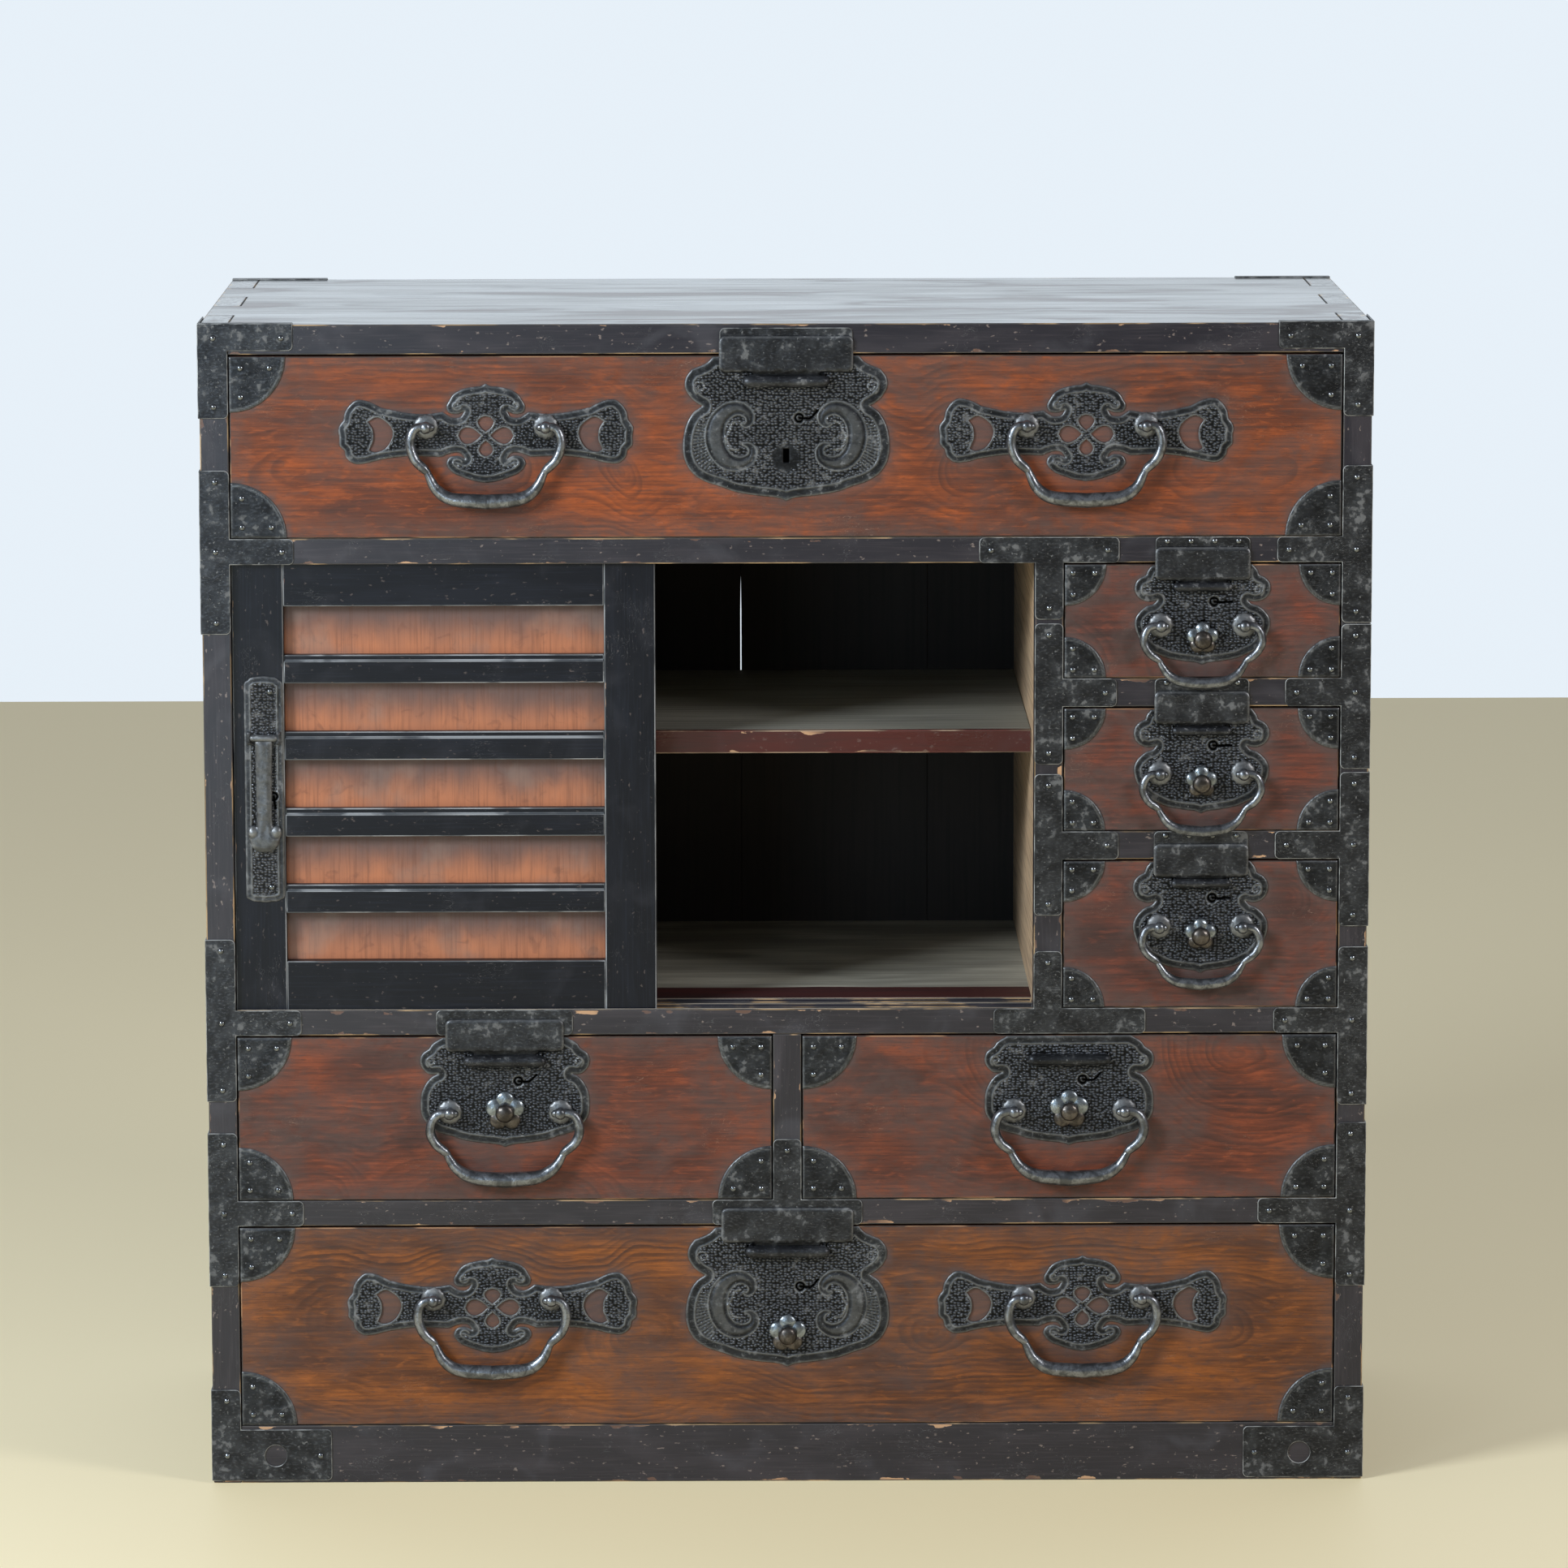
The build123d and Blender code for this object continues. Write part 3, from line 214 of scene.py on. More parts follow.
# A bail plate's petals: direction, place of the inner and outer ends, and half the width.
PETALS = ((0, 3.6, 21.0, 6.3), (180, 3.6, 21.0, 6.3), (90, 3.0, 15.0, 6.0), (270, 4.0, 16.0, 5.2))
# Its right-hand bean-shaped hole.
BEAN_RUNS = [
    [(89.6, -11.0), (85.0, -12.6), (78.0, -10.4), (73.6, -5.4), (71.4, 1.2), (73.0, 7.0),
     (78.0, 11.8), (84.0, 14.2), (90.4, 10.8)],
    [(90.4, 10.8), (86.8, 4.6), (86.4, -3.4), (89.6, -11.0)],
]

# Tones, as linear colours: on the drawers' wood, on lacquer, on the top, on bare wood, on the
# compartment's front strip, on the doors' panels, on iron and on the studio's floor.
# The third tone is old dirt together with a painted sheen of light.
FLECK, SMUDGE, DIRT_AND_SHEEN = (0.070, 0.042, 0.038), (0.052, 0.027, 0.024), (0.078, 0.054, 0.050)
UNDER_IRON, WOOD_SCRATCH = (0.080, 0.056, 0.055), (0.32, 0.20, 0.15)
CHIP_OLD, CHIP_FRESH = (0.105, 0.055, 0.042), (0.46, 0.27, 0.155)
SPECK, SCRATCH, DUST = (0.24, 0.19, 0.175), (0.17, 0.165, 0.17), (0.085, 0.084, 0.104)
# The top's grey and pale tones include a painted reflection of the pale wall.
TOP_GREY, TOP_PALE = (0.210, 0.225, 0.235), (0.500, 0.545, 0.575)
TOP_STREAK, TOP_STAIN = (0.028, 0.026, 0.028), (0.075, 0.034, 0.032)
TOP_CHIP_OLD, TOP_CHIP_FRESH, TOP_CRACK = (0.16, 0.09, 0.06), (0.60, 0.42, 0.20), (0.010, 0.009, 0.009)
WOOD_DUST = (0.20, 0.20, 0.165)
STRIP_RED, STRIP_DARK = (0.060, 0.010, 0.010), (0.022, 0.008, 0.009)
# The doors' panels: painted light at the foot of each gap and painted shade at its head.
PANEL_LIT_FOOT, PANEL_SHADED_HEAD = (0.44, 0.155, 0.070), (0.105, 0.060, 0.054)
PANEL_GRAIN, PANEL_SPOT, PANEL_BLOOM = (0.085, 0.028, 0.016), (0.110, 0.040, 0.026), (0.21, 0.16, 0.14)
IRON_DUST, IRON_RUBBED = (0.165, 0.166, 0.172), (0.215, 0.222, 0.235)
# Near black: painted shade in keyholes, slits, slots and the flaps' necks, and darker iron round the
# top slot and towards the lever's foot.
IRON_SHADE_AND_DARK = (0.001, 0.001, 0.001)
FLOOR_TONE, FLOOR_GLOW = (0.80, 0.70, 0.48), (0.12, 0.10, 0.05)

# Camera and light, in metres, radians and watts.
FOCAL_PIXELS = 9134.6               # for an image 1932 pixels wide
IMAGE_PIXELS = 1932
SENSOR = 36.0
CAMERA_PLACE = (-0.0508, -5.871, 1.4247)
CAMERA_YAW, CAMERA_PITCH, CAMERA_ROLL = -0.0086, 0.1526, -0.0016
FLOOR_REACH, FLOOR_END = 12.0, 4.15
ROOM_DIM, ROOM_WALL = (0.155, 0.166, 0.180), (0.800, 0.875, 0.945)
# Each light's place, what it looks at, its size, power and colour.
LIGHTS = {
    "left": ((-2.15, -2.05, 1.85), (0, -0.15, 0.5), (0.9, 0.9), 91, (0.87, 0.95, 1.0)),
    "right": ((2.45, -1.9, 1.85), (0, -0.15, 0.5), (0.8, 0.8), 40, (1.0, 0.97, 0.94)),
    "window": ((-0.95, -2.6, 0.70), (-0.35, 0, 0.6), (0.6, 1.3), 9, (0.66, 0.85, 1.0)),
}


# --------------------------------------------------------------------------------- materials
class Field:
    """A number, colour or vector at each point of a surface. Sums make maths nodes."""

    def __init__(self, owner, socket):
        self.owner, self.socket = owner, socket

    def __add__(self, other):
        return self.owner.math("ADD", self, other)

    def __sub__(self, other):
        return self.owner.math("SUBTRACT", self, other)

    def __rsub__(self, other):
        return self.owner.math("SUBTRACT", other, self)

    def __mul__(self, other):
        return self.owner.math("MULTIPLY", self, other)

    def __truediv__(self, other):
        return self.owner.math("DIVIDE", self, other)

    def step(self, *numbers):
        """A smooth step from start to end as the value goes from low to high. The numbers are
        low and high, and then start and end unless they are 0 and 1."""
        start_end = numbers[2:] or (0.0, 1.0)
        inputs = (self, *numbers[:2], *start_end)
        return self.owner.node("MapRange", inputs, interpolation_type="SMOOTHSTEP")


class Tree:
    """A node tree, with short calls for the nodes that it is made of."""

    def __init__(self, owner):
        owner.use_nodes = True
        self.nodes, self.links = owner.node_tree.nodes, owner.node_tree.links

    def put(self, socket, value):
        if isinstance(value, Field):
            self.links.new(value.socket, socket)
        elif socket.type == "RGBA":
            socket.default_value = (*value, 1)
        else:
            socket.default_value = value

    def node(self, kind, inputs=(), output=0, **settings):
        """An output of a new node with these inputs, in their order or by their names."""
        node = self.nodes.new(f"ShaderNode{kind}")
        for name, value in settings.items():
            setattr(node, name, value)
        for key, value in inputs.items() if isinstance(inputs, dict) else enumerate(inputs):
            self.put(node.inputs[key], value)
        return Field(self, node.outputs[output])

    def math(self, operation, a, b=0.0):
        return self.node("Math", (a, b), operation=operation)

    def vector(self, operation, a, b):
        return self.node("VectorMath", (a, b), operation=operation)

    def attribute(self, name):
        return self.node("Attribute", output="Vector", attribute_name=name)

    def coordinates(self, kind):
        return self.node("TexCoord", output=kind)

    def split(self, vector):
        outputs = self.node("SeparateXYZ", (vector,)).socket.node.outputs
        return [Field(self, socket) for socket in outputs]

    def join(self, x, y, z=0.0):
        return self.node("CombineXYZ", (x, y, z))

    def mix(self, share, a, b):
        return self.node("Mix", {0: share, 6: a, 7: b}, 2, data_type="RGBA")

    def noise(self, place, size, stretch=1, detail=3.0, distortion=0.0):
        """Noise from 0 to 1 with features of that size in millimetres, longer in the first
        direction by the stretch."""
        if stretch != 1:
            place = self.vector("MULTIPLY", place, (1 / stretch, 1, 1))
        inputs = {"Vector": place, "Scale": 1 / (size * MM), "Detail": detail}
        return self.node("TexNoise", {**inputs, "Distortion": distortion}, "Fac")

    def cells(self, x, z, size, scatter):
        """Distance from the nearest of many scattered points of a plane, in their spacings."""
        inputs = {"Vector": self.join(x, z), "Scale": 1 / (size * MM), "Randomness": scatter}
        return self.node("TexVoronoi", inputs, "Distance", voronoi_dimensions="2D")

    def marks(self, place, size, stretch, width, share):
        """Thin wandering scratches, in some places only."""
        field = self.noise(place, size, stretch, 2.0, 2.5)
        line = self.math("ABSOLUTE", field - 0.5).step(0.0, width, 1.0, 0.0)
        return line * self.noise(place, 45).step(0.70 - 0.3 * share, 0.78 - 0.3 * share)


class Coat(Tree):
    """A material whose colour is painted on tone by tone."""

    def __init__(self, name, colour=None):
        self.material = bpy.data.materials.new(name)
        super().__init__(self.material)
        self.nodes.clear()
        self.surface = self.nodes.new("ShaderNodeBsdfPrincipled")
        output = self.nodes.new("ShaderNodeOutputMaterial")
        self.links.new(self.surface.outputs[0], output.inputs[0])
        self.colour = colour

    def paint(self, tone, share, *numbers):
        """Lays a tone over the colour, by a share or by a smooth step of it."""
        share = share.step(*numbers) if numbers else share
        self.colour = self.mix(share, self.colour, tone)

    def bump(self, height, depth, strength=1.0):
        """Sets the surface's bump: the height's full range is that depth, in millimetres."""
        inputs = {"Strength": strength, "Distance": depth * MM, "Height": height}
        self.put(self.surface.inputs["Normal"], self.node("Bump", inputs))

    def finish(self, **inputs):
        """The material with its colour and the surface's inputs, named with _ for spaces."""
        for name, value in {"Base_Color": self.colour, **inputs}.items():
            self.put(self.surface.inputs[name.replace("_", " ")], value)
        return self.material


class BoardCoat(Coat):
    """A material that knows the place on a board, along its length, width and thickness."""

    def __init__(self, name, colour=None):
        super().__init__(name, colour)
        self.local = self.attribute("local")
        # The board's own number, the staining and painted sheen round irons, and whether irons lie in
        # front.
        self.seed, self.halo, self.behind = self.split(self.attribute("board"))
        apart = self.join(self.seed, self.seed, self.seed)
        shift = self.vector("MULTIPLY", apart, (3.7, 1.9, 2.3))
        self.place = self.vector("ADD", self.local, shift)
        halves = self.split(self.attribute("half"))
        places = self.split(self.local)
        a, b, c = [half - self.math("ABSOLUTE", at) for half, at in zip(halves, places)]
        low, high = self.math("MINIMUM", a, b), self.math("MAXIMUM", a, b)
        # The distance to the nearest arris.
        self.arris = self.math("MAXIMUM", low, self.math("MINIMUM", high, c))

    def chips(self, size, stretch, detail, low, high, depth):
        """Ragged chips that start at the arrises and reach in by that depth, in metres."""
        reach = self.noise(self.place, size, stretch, detail).step(low, high, -0.0004, depth)
        return (reach - self.arris).step(0.0, 0.0003)


def times(colour, factor):
    return tuple(factor * c for c in colour)


def grained_wood(name, bright, warm, dark, ring=5.5, figure=0.5, smudge=0.6, haze=0.85):
    """Zelkova: year rings round a wandering pith, pores, and old grime near arrises and irons and in
    broad patches, greyed into a painted bluish-grey sheen of light.
    """
    s = BoardCoat(name)
    place = s.place
    u, v, w = s.split(place)
    depth = (s.noise(s.join(u, v * 0.4, w), 210, detail=2.5) - 0.5) * 0.30
    waves = (s.noise(place, 26, 2.6, 4.0) - 0.5) * 0.015
    across = s.split(s.local)[1] + waves + (s.seed - 0.5) * 0.13
    count = s.math("SQRT", across * across + depth * depth) / (ring * MM)
    phase = s.math("FRACT", count)
    year = s.noise(s.join(s.math("FLOOR", count), 0.37), 1700, detail=0.0)
    late = phase.step(0.05, 0.75) * phase.step(0.78, 1.0, 1.0, 0.0)
    late = late * year.step(0.25, 0.75, 0.25, 1.0)
    late = late * s.noise(place, 95).step(0.36, 0.62, 0.15, 1.0)
    fine = s.noise(place, 1.1, 12)
    pores = s.noise(place, 0.8, 6, 2.0).step(0.56, 0.70) * phase.step(0.0, 0.6, 1.0, 0.3)
    patches = s.noise(place, 52, 2.4, 5.0, 0.9)
    s.colour = s.mix(patches.step(0.33, 0.67), warm, bright)
    s.paint(times(bright, 1.45), s.noise(place, 19, 2.4, 5.0, 0.5), 0.50, 0.72, 0.0, 0.5)
    flecks = s.noise(place, 4.2, 3.4, 5.0, 0.6)
    s.paint(FLECK, flecks, 0.54, 0.70, 0.0, 0.45)
    s.paint(times(bright, 1.4), flecks, 0.30, 0.45, 0.45, 0.0)
    streaks = s.noise(place, 2.3, 26, 4.0, 0.3)
    s.paint(dark, streaks, 0.46, 0.68, 0.0, 0.42)
    s.paint(times(bright, 1.5), streaks, 0.30, 0.44, 0.30, 0.0)
    s.paint(dark, late * figure)
    s.paint(dark, fine, 0.48, 0.74, 0.0, 0.30)
    s.paint(dark, pores * 0.35)
    s.paint(SMUDGE, s.noise(place, 34, 3.4, 7.0, 0.8), 0.47, 0.70, 0.0, smudge)
    # Dirt near arrises and irons and in broad patches, greyed as a painted sheen of light on the dust.
    near = s.math("MAXIMUM", s.arris.step(0.0, 0.026, 0.8, 0.0), s.halo)
    near = s.math("MAXIMUM", near, s.noise(place, 80, detail=4.0).step(0.46, 0.64, 0.0, 0.7))
    dirt_and_sheen = near * s.noise(place, 8, detail=6.0).step(0.25, 0.60, 0.35, 1.0)
    s.paint(DIRT_AND_SHEEN, dirt_and_sheen * haze)
    s.paint(UNDER_IRON, s.behind * 0.72)
    s.paint(WOOD_SCRATCH, s.marks(place, 8, 2.5, 0.006, 0.35) * 0.45)
    s.bump(late * 0.4 - pores + fine * 0.8, 0.16, 0.6)
    return s.finish(Roughness=fine * 0.16 + 0.42 + dirt_and_sheen * 0.18, Specular_IOR_Level=0.32)


def lacquer(name, colour, worn, rub=0.4, gloss=0.34, chip=1.0, specks=0.6, powder=0.22, shine=0.5):
    """Old lacquer over wood: rubbed streaks, scratches, and chips that start at the arrises."""
    s = BoardCoat(name, colour)
    place = s.place
    fine = s.noise(place, 1.3, 30)
    patches = s.noise(place, 24, 4, 6.0, 0.5)
    s.paint(worn, patches, 0.46, 0.72, 0.0, rub)
    s.paint(worn, fine, 0.48, 0.74, 0.0, 0.4)
    chipped = s.chips(11, 2.2, 7.0, 0.50, 0.74, 0.0042 * chip)
    kind = s.noise(place, 50, detail=2.0).step(0.50, 0.60)
    s.paint(s.mix(kind, CHIP_OLD, CHIP_FRESH), chipped)
    s.paint(SPECK, s.noise(place, 2.8, 1.8), 0.66, 0.72, 0.0, specks)
    mark = s.marks(place, 7, 3, 0.007, 0.5)
    s.paint(SCRATCH, mark * 0.5)
    dust = s.noise(place, 40, detail=5.0, distortion=0.6).step(0.52, 0.74, 0.0, powder)
    s.paint(DUST, dust)
    s.bump(fine * 0.5 + patches * 0.9 - (mark * 0.4 + chipped), 0.22, 0.6)
    rough = patches * 0.28 + (gloss - 0.10) + dust * 0.4
    coat = {"Coat_Weight": 0.4 * shine, "Coat_Roughness": 0.28}
    return s.finish(Roughness=rough, Specular_IOR_Level=shine, **coat)


def worn_edge(name, under, bare, share=0.5):
    """An arris where the lacquer is rubbed through in broken lengths."""
    s = BoardCoat(name, under)
    tint = s.noise(s.place, 60, detail=2.0).step(0.42, 0.60)
    low = 0.62 - 0.22 * share
    s.paint(s.mix(tint, times(bare, 0.40), bare), s.noise(s.place, 20, 2.4, 6.0), low, low + 0.10)
    s.bump(s.noise(s.place, 3.0, detail=4.0), 0.35, 0.7)
    return s.finish(Roughness=0.55)


def weathered_reflecting_wood(name):
    """The top: grey and polished by dusting, its grey and pale tones raised as a painted reflection of
    the pale wall, with long dark streaks, stains and cracks.
    """
    s = BoardCoat(name)
    streaks = s.noise(s.place, 4, 30, 5.0)
    broad = s.noise(s.place, 26, 8, 5.0, 0.5)
    stains = s.noise(s.place, 60, 3.5, 6.0, 1.2)
    # Grey and pale tones raised as a painted reflection of the pale wall behind.
    s.colour = s.mix(broad.step(0.35, 0.68), TOP_GREY, TOP_PALE)
    s.paint(TOP_STREAK, streaks, 0.47, 0.68, 0.0, 0.85)
    s.paint(TOP_STAIN, stains, 0.54, 0.66, 0.0, 0.75)
    crack = s.noise(s.place, 2.2, 70).step(0.66, 0.71)
    s.paint(TOP_CRACK, crack)
    bare = s.mix(s.noise(s.place, 60).step(0.40, 0.56), TOP_CHIP_OLD, TOP_CHIP_FRESH)
    s.paint(bare, s.chips(13, 2.6, 6.0, 0.46, 0.72, 0.005))
    s.bump(streaks * -0.8 - crack, 0.30, 0.6)
    rough = streaks * 0.30 + 0.16 + stains.step(0.45, 0.66, 0.0, 0.20)
    return s.finish(Roughness=rough, Coat_Weight=0.6, Coat_Roughness=0.14)


def plain_wood(name, pale, dark, dust=0.0, rough=0.72):
    """Bare old softwood, with straight grain and, where it is open to the air, some dust."""
    s = BoardCoat(name, pale)
    grain = s.noise(s.place, 3.2, 38, 4.0)
    s.paint(times(pale, 0.72), s.noise(s.place, 60, 4, 4.0, 0.6), 0.30, 0.72)
    s.paint(dark, grain, 0.42, 0.70, 0.0, 0.8)
    s.paint(WOOD_DUST, s.noise(s.place, 30, 3, 5.0, 0.8), 0.35, 0.75, 0.0, dust)
    s.bump(grain * -1.0, 0.25, 0.5)
    return s.finish(Roughness=rough)


def floor_wood(name, pale, dark, strip_back, top):
    """The dust boards, with a strip of red lacquer behind the sill in the open compartment.
    The strip's rear end and the sill's top are in millimetres."""
    s = BoardCoat(name, pale)
    _, depth, height = s.split(s.coordinates("Object"))
    grain = s.noise(s.place, 3.2, 38, 4.0)
    broad = s.noise(s.place, 40, 4, 5.0, 0.6)
    s.paint(times(pale, 0.55), broad, 0.34, 0.68)
    s.paint(dark, grain, 0.42, 0.70, 0.0, 0.5)
    red = s.mix(grain.step(0.40, 0.66), STRIP_RED, STRIP_DARK)
    ragged = depth + (broad - 0.5) * 0.012
    strip = ragged.step((strip_back - 2) * MM, (strip_back + 2) * MM, 1.0, 0.0)
    strip = strip * height.step((top - 25) * MM, (top - 24) * MM)
    s.paint(red, strip * height.step((top + 1) * MM, (top + 2) * MM, 1.0, 0.0))
    s.bump(grain * -1.0, 0.25, 0.5)
    return s.finish(Roughness=0.6)


def door_panel_wood(name, gap_low, gap_pitch):
    """The panel behind the slats, each gap painted redder and darker at its head as painted shade
    under the slat above, and paler at its foot as painted light.
    """
    s = BoardCoat(name)
    height = s.split(s.coordinates("Object"))[2] - gap_low * MM
    broad = s.noise(s.place, 26, 2, 5.0, 0.7)
    ragged = s.math("FRACT", height / (gap_pitch * MM)) + (broad - 0.5) * 0.45
    # Each gap's head is in painted shade under the slat above, and its foot in painted light.
    s.colour = s.mix(ragged.step(-0.05, 0.55), PANEL_LIT_FOOT, PANEL_SHADED_HEAD)
    grain = s.noise(s.place, 1.6, 26, 4.0)
    s.paint(PANEL_GRAIN, grain, 0.44, 0.72, 0.0, 0.35)
    spots = s.noise(s.place, 12, detail=5.0, distortion=1.0)
    s.paint(PANEL_SPOT, spots, 0.56, 0.74, 0.0, 0.4)
    s.paint(PANEL_BLOOM, s.noise(s.place, 45, detail=4.0), 0.52, 0.70, 0.0, 0.35)
    s.bump(grain * -1.0, 0.25, 0.6)
    return s.finish(Roughness=0.55)


def black_iron(name, dark, light, dust_share=0.5, grain_light=4.8):
    """Forged plate: a grained ground where the piece says so, each grain's top painted lighter as
    rubbing and a painted highlight, rubbed ridges and dust.
    """
    s = Coat(name)
    place = s.coordinates("Object")
    x, _, z = s.split(place)
    stipple, rub, pit = s.split(s.attribute("relief"))
    patches = s.noise(place, 16, detail=7.0, distortion=0.4)
    fine = s.noise(place, 1.6, 2, 4.0)
    spots = s.noise(place, 5.0, detail=4.0)
    grains = s.cells(x * 0.76, z + (spots - 0.5) * 0.0012, 2.15, 0.65)
    domes = grains.step(0.02, 0.56, 1.0, 0.0)
    s.colour = s.mix(patches.step(0.34, 0.70), dark, light)
    s.paint(times(light, 2.2), fine, 0.48, 0.75, 0.0, 0.55)
    s.paint(times(dark, 0.22), stipple * 0.9)
    # Each grain's top is painted lighter: rubbed high points and a painted highlight.
    grain_highlight_tone = s.mix(domes, times(light, 1.1), times(light, grain_light))
    s.paint(grain_highlight_tone, stipple * grains.step(0.40, 0.54, 1.0, 0.0) * 0.9)
    speck = s.noise(place, 2.6, detail=2.0).step(0.66, 0.72)
    dust = patches.step(0.52, 0.62) * spots.step(0.50, 0.62)
    mark = s.marks(place, 6, 2.5, 0.010, 0.6)
    dust = s.math("MAXIMUM", dust, s.math("MAXIMUM", speck, mark)) * dust_share
    s.paint(IRON_DUST, dust)
    s.paint(IRON_RUBBED, rub * spots.step(0.26, 0.58, 0.40, 1.0))
    # Painted shade in holes and recesses, and darker iron elsewhere.
    s.paint(IRON_SHADE_AND_DARK, pit)
    raised = stipple * domes
    s.bump(raised * 1.7 + (spots * 0.45 + fine * 0.22), 0.75)
    rough = patches * 0.22 + 0.29 + dust * 0.4 - raised * 0.10
    return s.finish(Roughness=rough, Metallic=s.math("MAXIMUM", 0.70 - dust * 0.6, pit))


def rubbed_iron(name, under, colour):
    """The pale line along a strap's arris."""
    s = Coat(name, under)
    s.paint(colour, s.noise(s.coordinates("Object"), 11, detail=5.0), 0.36, 0.62)
    return s.finish(Roughness=0.5, Metallic=0.35)


def bright_iron(name, colour, patchy=0.5, rough=0.32):
    """Iron polished by hands or by wear, darker in patches."""
    s = Coat(name, times(colour, 1 - patchy))
    place = s.coordinates("Object")
    patches = s.noise(place, 8, detail=5.0, distortion=0.8)
    fine = s.noise(place, 1.6)
    s.paint(colour, patches, 0.36, 0.62)
    s.paint(times(colour, 0.3), fine, 0.50, 0.72, 0.0, 0.6)
    s.bump(patches + fine * 0.3, 0.55, 0.8)
    return s.finish(Roughness=patches * -0.18 + (rough + 0.12), Metallic=0.88)


# ------------------------------------------------------------------------------------ pieces
def add_object(name, data):
    thing = bpy.data.objects.new(name, data)
    bpy.context.scene.collection.objects.link(thing)
    return thing


class Piece:
    """The points, faces, material numbers and point values of one piece, in millimetres."""

    def __init__(self):
        self.points = []
        self.faces = []
        self.slots = []
        self.smooth = []
        self.values = {}

    def add(self, points, faces, slots=0, smooth=True, **values):
        """Adds a mesh. slots is one material number, or one for each face."""
        start = len(self.points)
        self.points.extend(tuple(p) for p in points)
        self.faces.extend(tuple(i + start for i in face) for face in faces)
        self.slots.extend([slots] * len(faces) if isinstance(slots, int) else slots)
        self.smooth.extend([smooth] * len(faces))
        for name, rows in values.items():
            stored = self.values.setdefault(name, [])
            stored.extend([(0.0, 0.0, 0.0)] * (start - len(stored)))
            stored.extend(tuple(row) for row in rows)

    def make(self, name, body, materials, replaces):
        mesh = bpy.data.meshes.new(name)
        mesh.from_pydata((np.array(self.points) * MM).tolist(), [], self.faces)
        for material in materials:
            mesh.materials.append(material)
        mesh.polygons.foreach_set("material_index", self.slots)
        mesh.polygons.foreach_set("use_smooth", self.smooth)
        for value, rows in self.values.items():
            rows.extend([(0.0, 0.0, 0.0)] * (len(self.points) - len(rows)))
            stored = mesh.attributes.new(value, "FLOAT_VECTOR", "POINT")
            stored.data.foreach_set("vector", np.array(rows, np.float32).ravel())
        mesh.validate()
        piece = add_object(name, mesh)
        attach(piece, body)
        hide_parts(*replaces)


def box_mm(node):
    low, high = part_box(node)
    return np.array(low) / MM, np.array(high) / MM


def meet_edges(loose, corners):
    """Adds a face's edges to the loose ones, and drops those met from the other side too."""
    for edge in zip(corners, (*corners[1:], corners[0])):
        if loose.pop(edge[::-1], None) is None:
            loose[edge] = True


def solids(node):
    """The separate solids of a CAD node, as lists of triangles of points in millimetres.
    A solid is complete when each of its edges has been met from both sides."""
    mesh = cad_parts[node].data
    points = [tuple(round(c / MM, 3) for c in vertex.co) for vertex in mesh.vertices]
    found, triangles, loose = [], [], {}
    for polygon in mesh.polygons:
        corners = [points[i] for i in polygon.vertices]
        triangles.append(corners)
        meet_edges(loose, corners)
        if not loose:
            found.append(triangles)
            triangles = []
    return found


def limits(triangles):
    points = np.array([p for corners in triangles for p in corners])
    return points.min(0), points.max(0)


def eased(triangles, width, step=None):
    """The solid with its sharp edges rounded. The rounding's faces have material number 1.
    With a step, the solid is also cut along planes that far apart across X and Z."""
    mesh = bmesh.new()
    made = {}
    for corners in triangles:
        for p in corners:
            if p not in made:
                made[p] = mesh.verts.new(p)
        mesh.faces.new([made[p] for p in corners])
    bmesh.ops.dissolve_limit(
        mesh, angle_limit=FLAT_ANGLE, verts=mesh.verts, edges=mesh.edges
    )
    sharp = [e for e in mesh.edges if e.is_manifold and e.calc_face_angle(0) > SHARP_ANGLE]
    bmesh.ops.bevel(
        mesh, geom=sharp, offset=width, segments=2, profile=0.5, affect="EDGES", material=1,
    )
    low, high = limits(triangles)
    for axis in (0, 2) if step else ():
        normal = Vector((axis == 0, 0, axis == 2))
        for place in np.arange(low[axis] + step, high[axis], step):
            geometry = mesh.verts[:] + mesh.edges[:] + mesh.faces[:]
            bmesh.ops.bisect_plane(mesh, geom=geometry, plane_co=normal * place, plane_no=normal)
    # The cuts leave points and faces in an order that changes from run to run.
    corners = sorted(mesh.verts, key=lambda v: tuple(v.co))
    index = {v: i for i, v in enumerate(corners)}
    rows = sorted(([index[v] for v in f.verts], f.material_index) for f in mesh.faces)
    points = [tuple(v.co) for v in corners]
    mesh.free()
    return points, [face for face, _ in rows], [slot for _, slot in rows]


def add_board(piece, triangles, seed, width, by_face=None, stain=None, shape=None, step=None):
    """Adds one board to a piece, with its own directions and its own grain.
    by_face gives a face's material number from the middle of the face. stain gives how far
    points are darkened by irons and which lie behind them, and brings closer points. shape
    moves the points."""
    points, faces, slots = eased(triangles, width, STAIN_AND_SHEEN_STEP if stain else step)
    low, high = limits(triangles)
    order = np.argsort(low - high, kind="stable")
    middle, half = (low + high) / 2, (high - low) / 2
    points = np.array(points)
    if shape:
        points = shape(points, low, high)
    local = (points - middle)[:, order] * MM
    share = random.Random(seed).random()
    board = np.zeros((len(points), 3))
    board[:, 0] = share
    if stain:
        board[:, 1], board[:, 2] = stain(points)
    if by_face:
        slots = [
            by_face(points[list(face)].mean(0), low, high, slot)
            for face, slot in zip(faces, slots)
        ]
    halves = np.tile(half[order] * MM, (len(points), 1))
    piece.add(points, faces, slots, smooth=False, local=local, board=board, half=halves)


def boards(node, body, materials, slot, width=EASED_EDGE, **more):
    """A piece made of a node's boards, with eased arrises."""
    piece = Piece()
    for index, triangles in enumerate(solids(node)):
        add_board(piece, triangles, f"{node}{index}", width, **more)
    piece.make(f"{node}_wood", body, materials, [node])


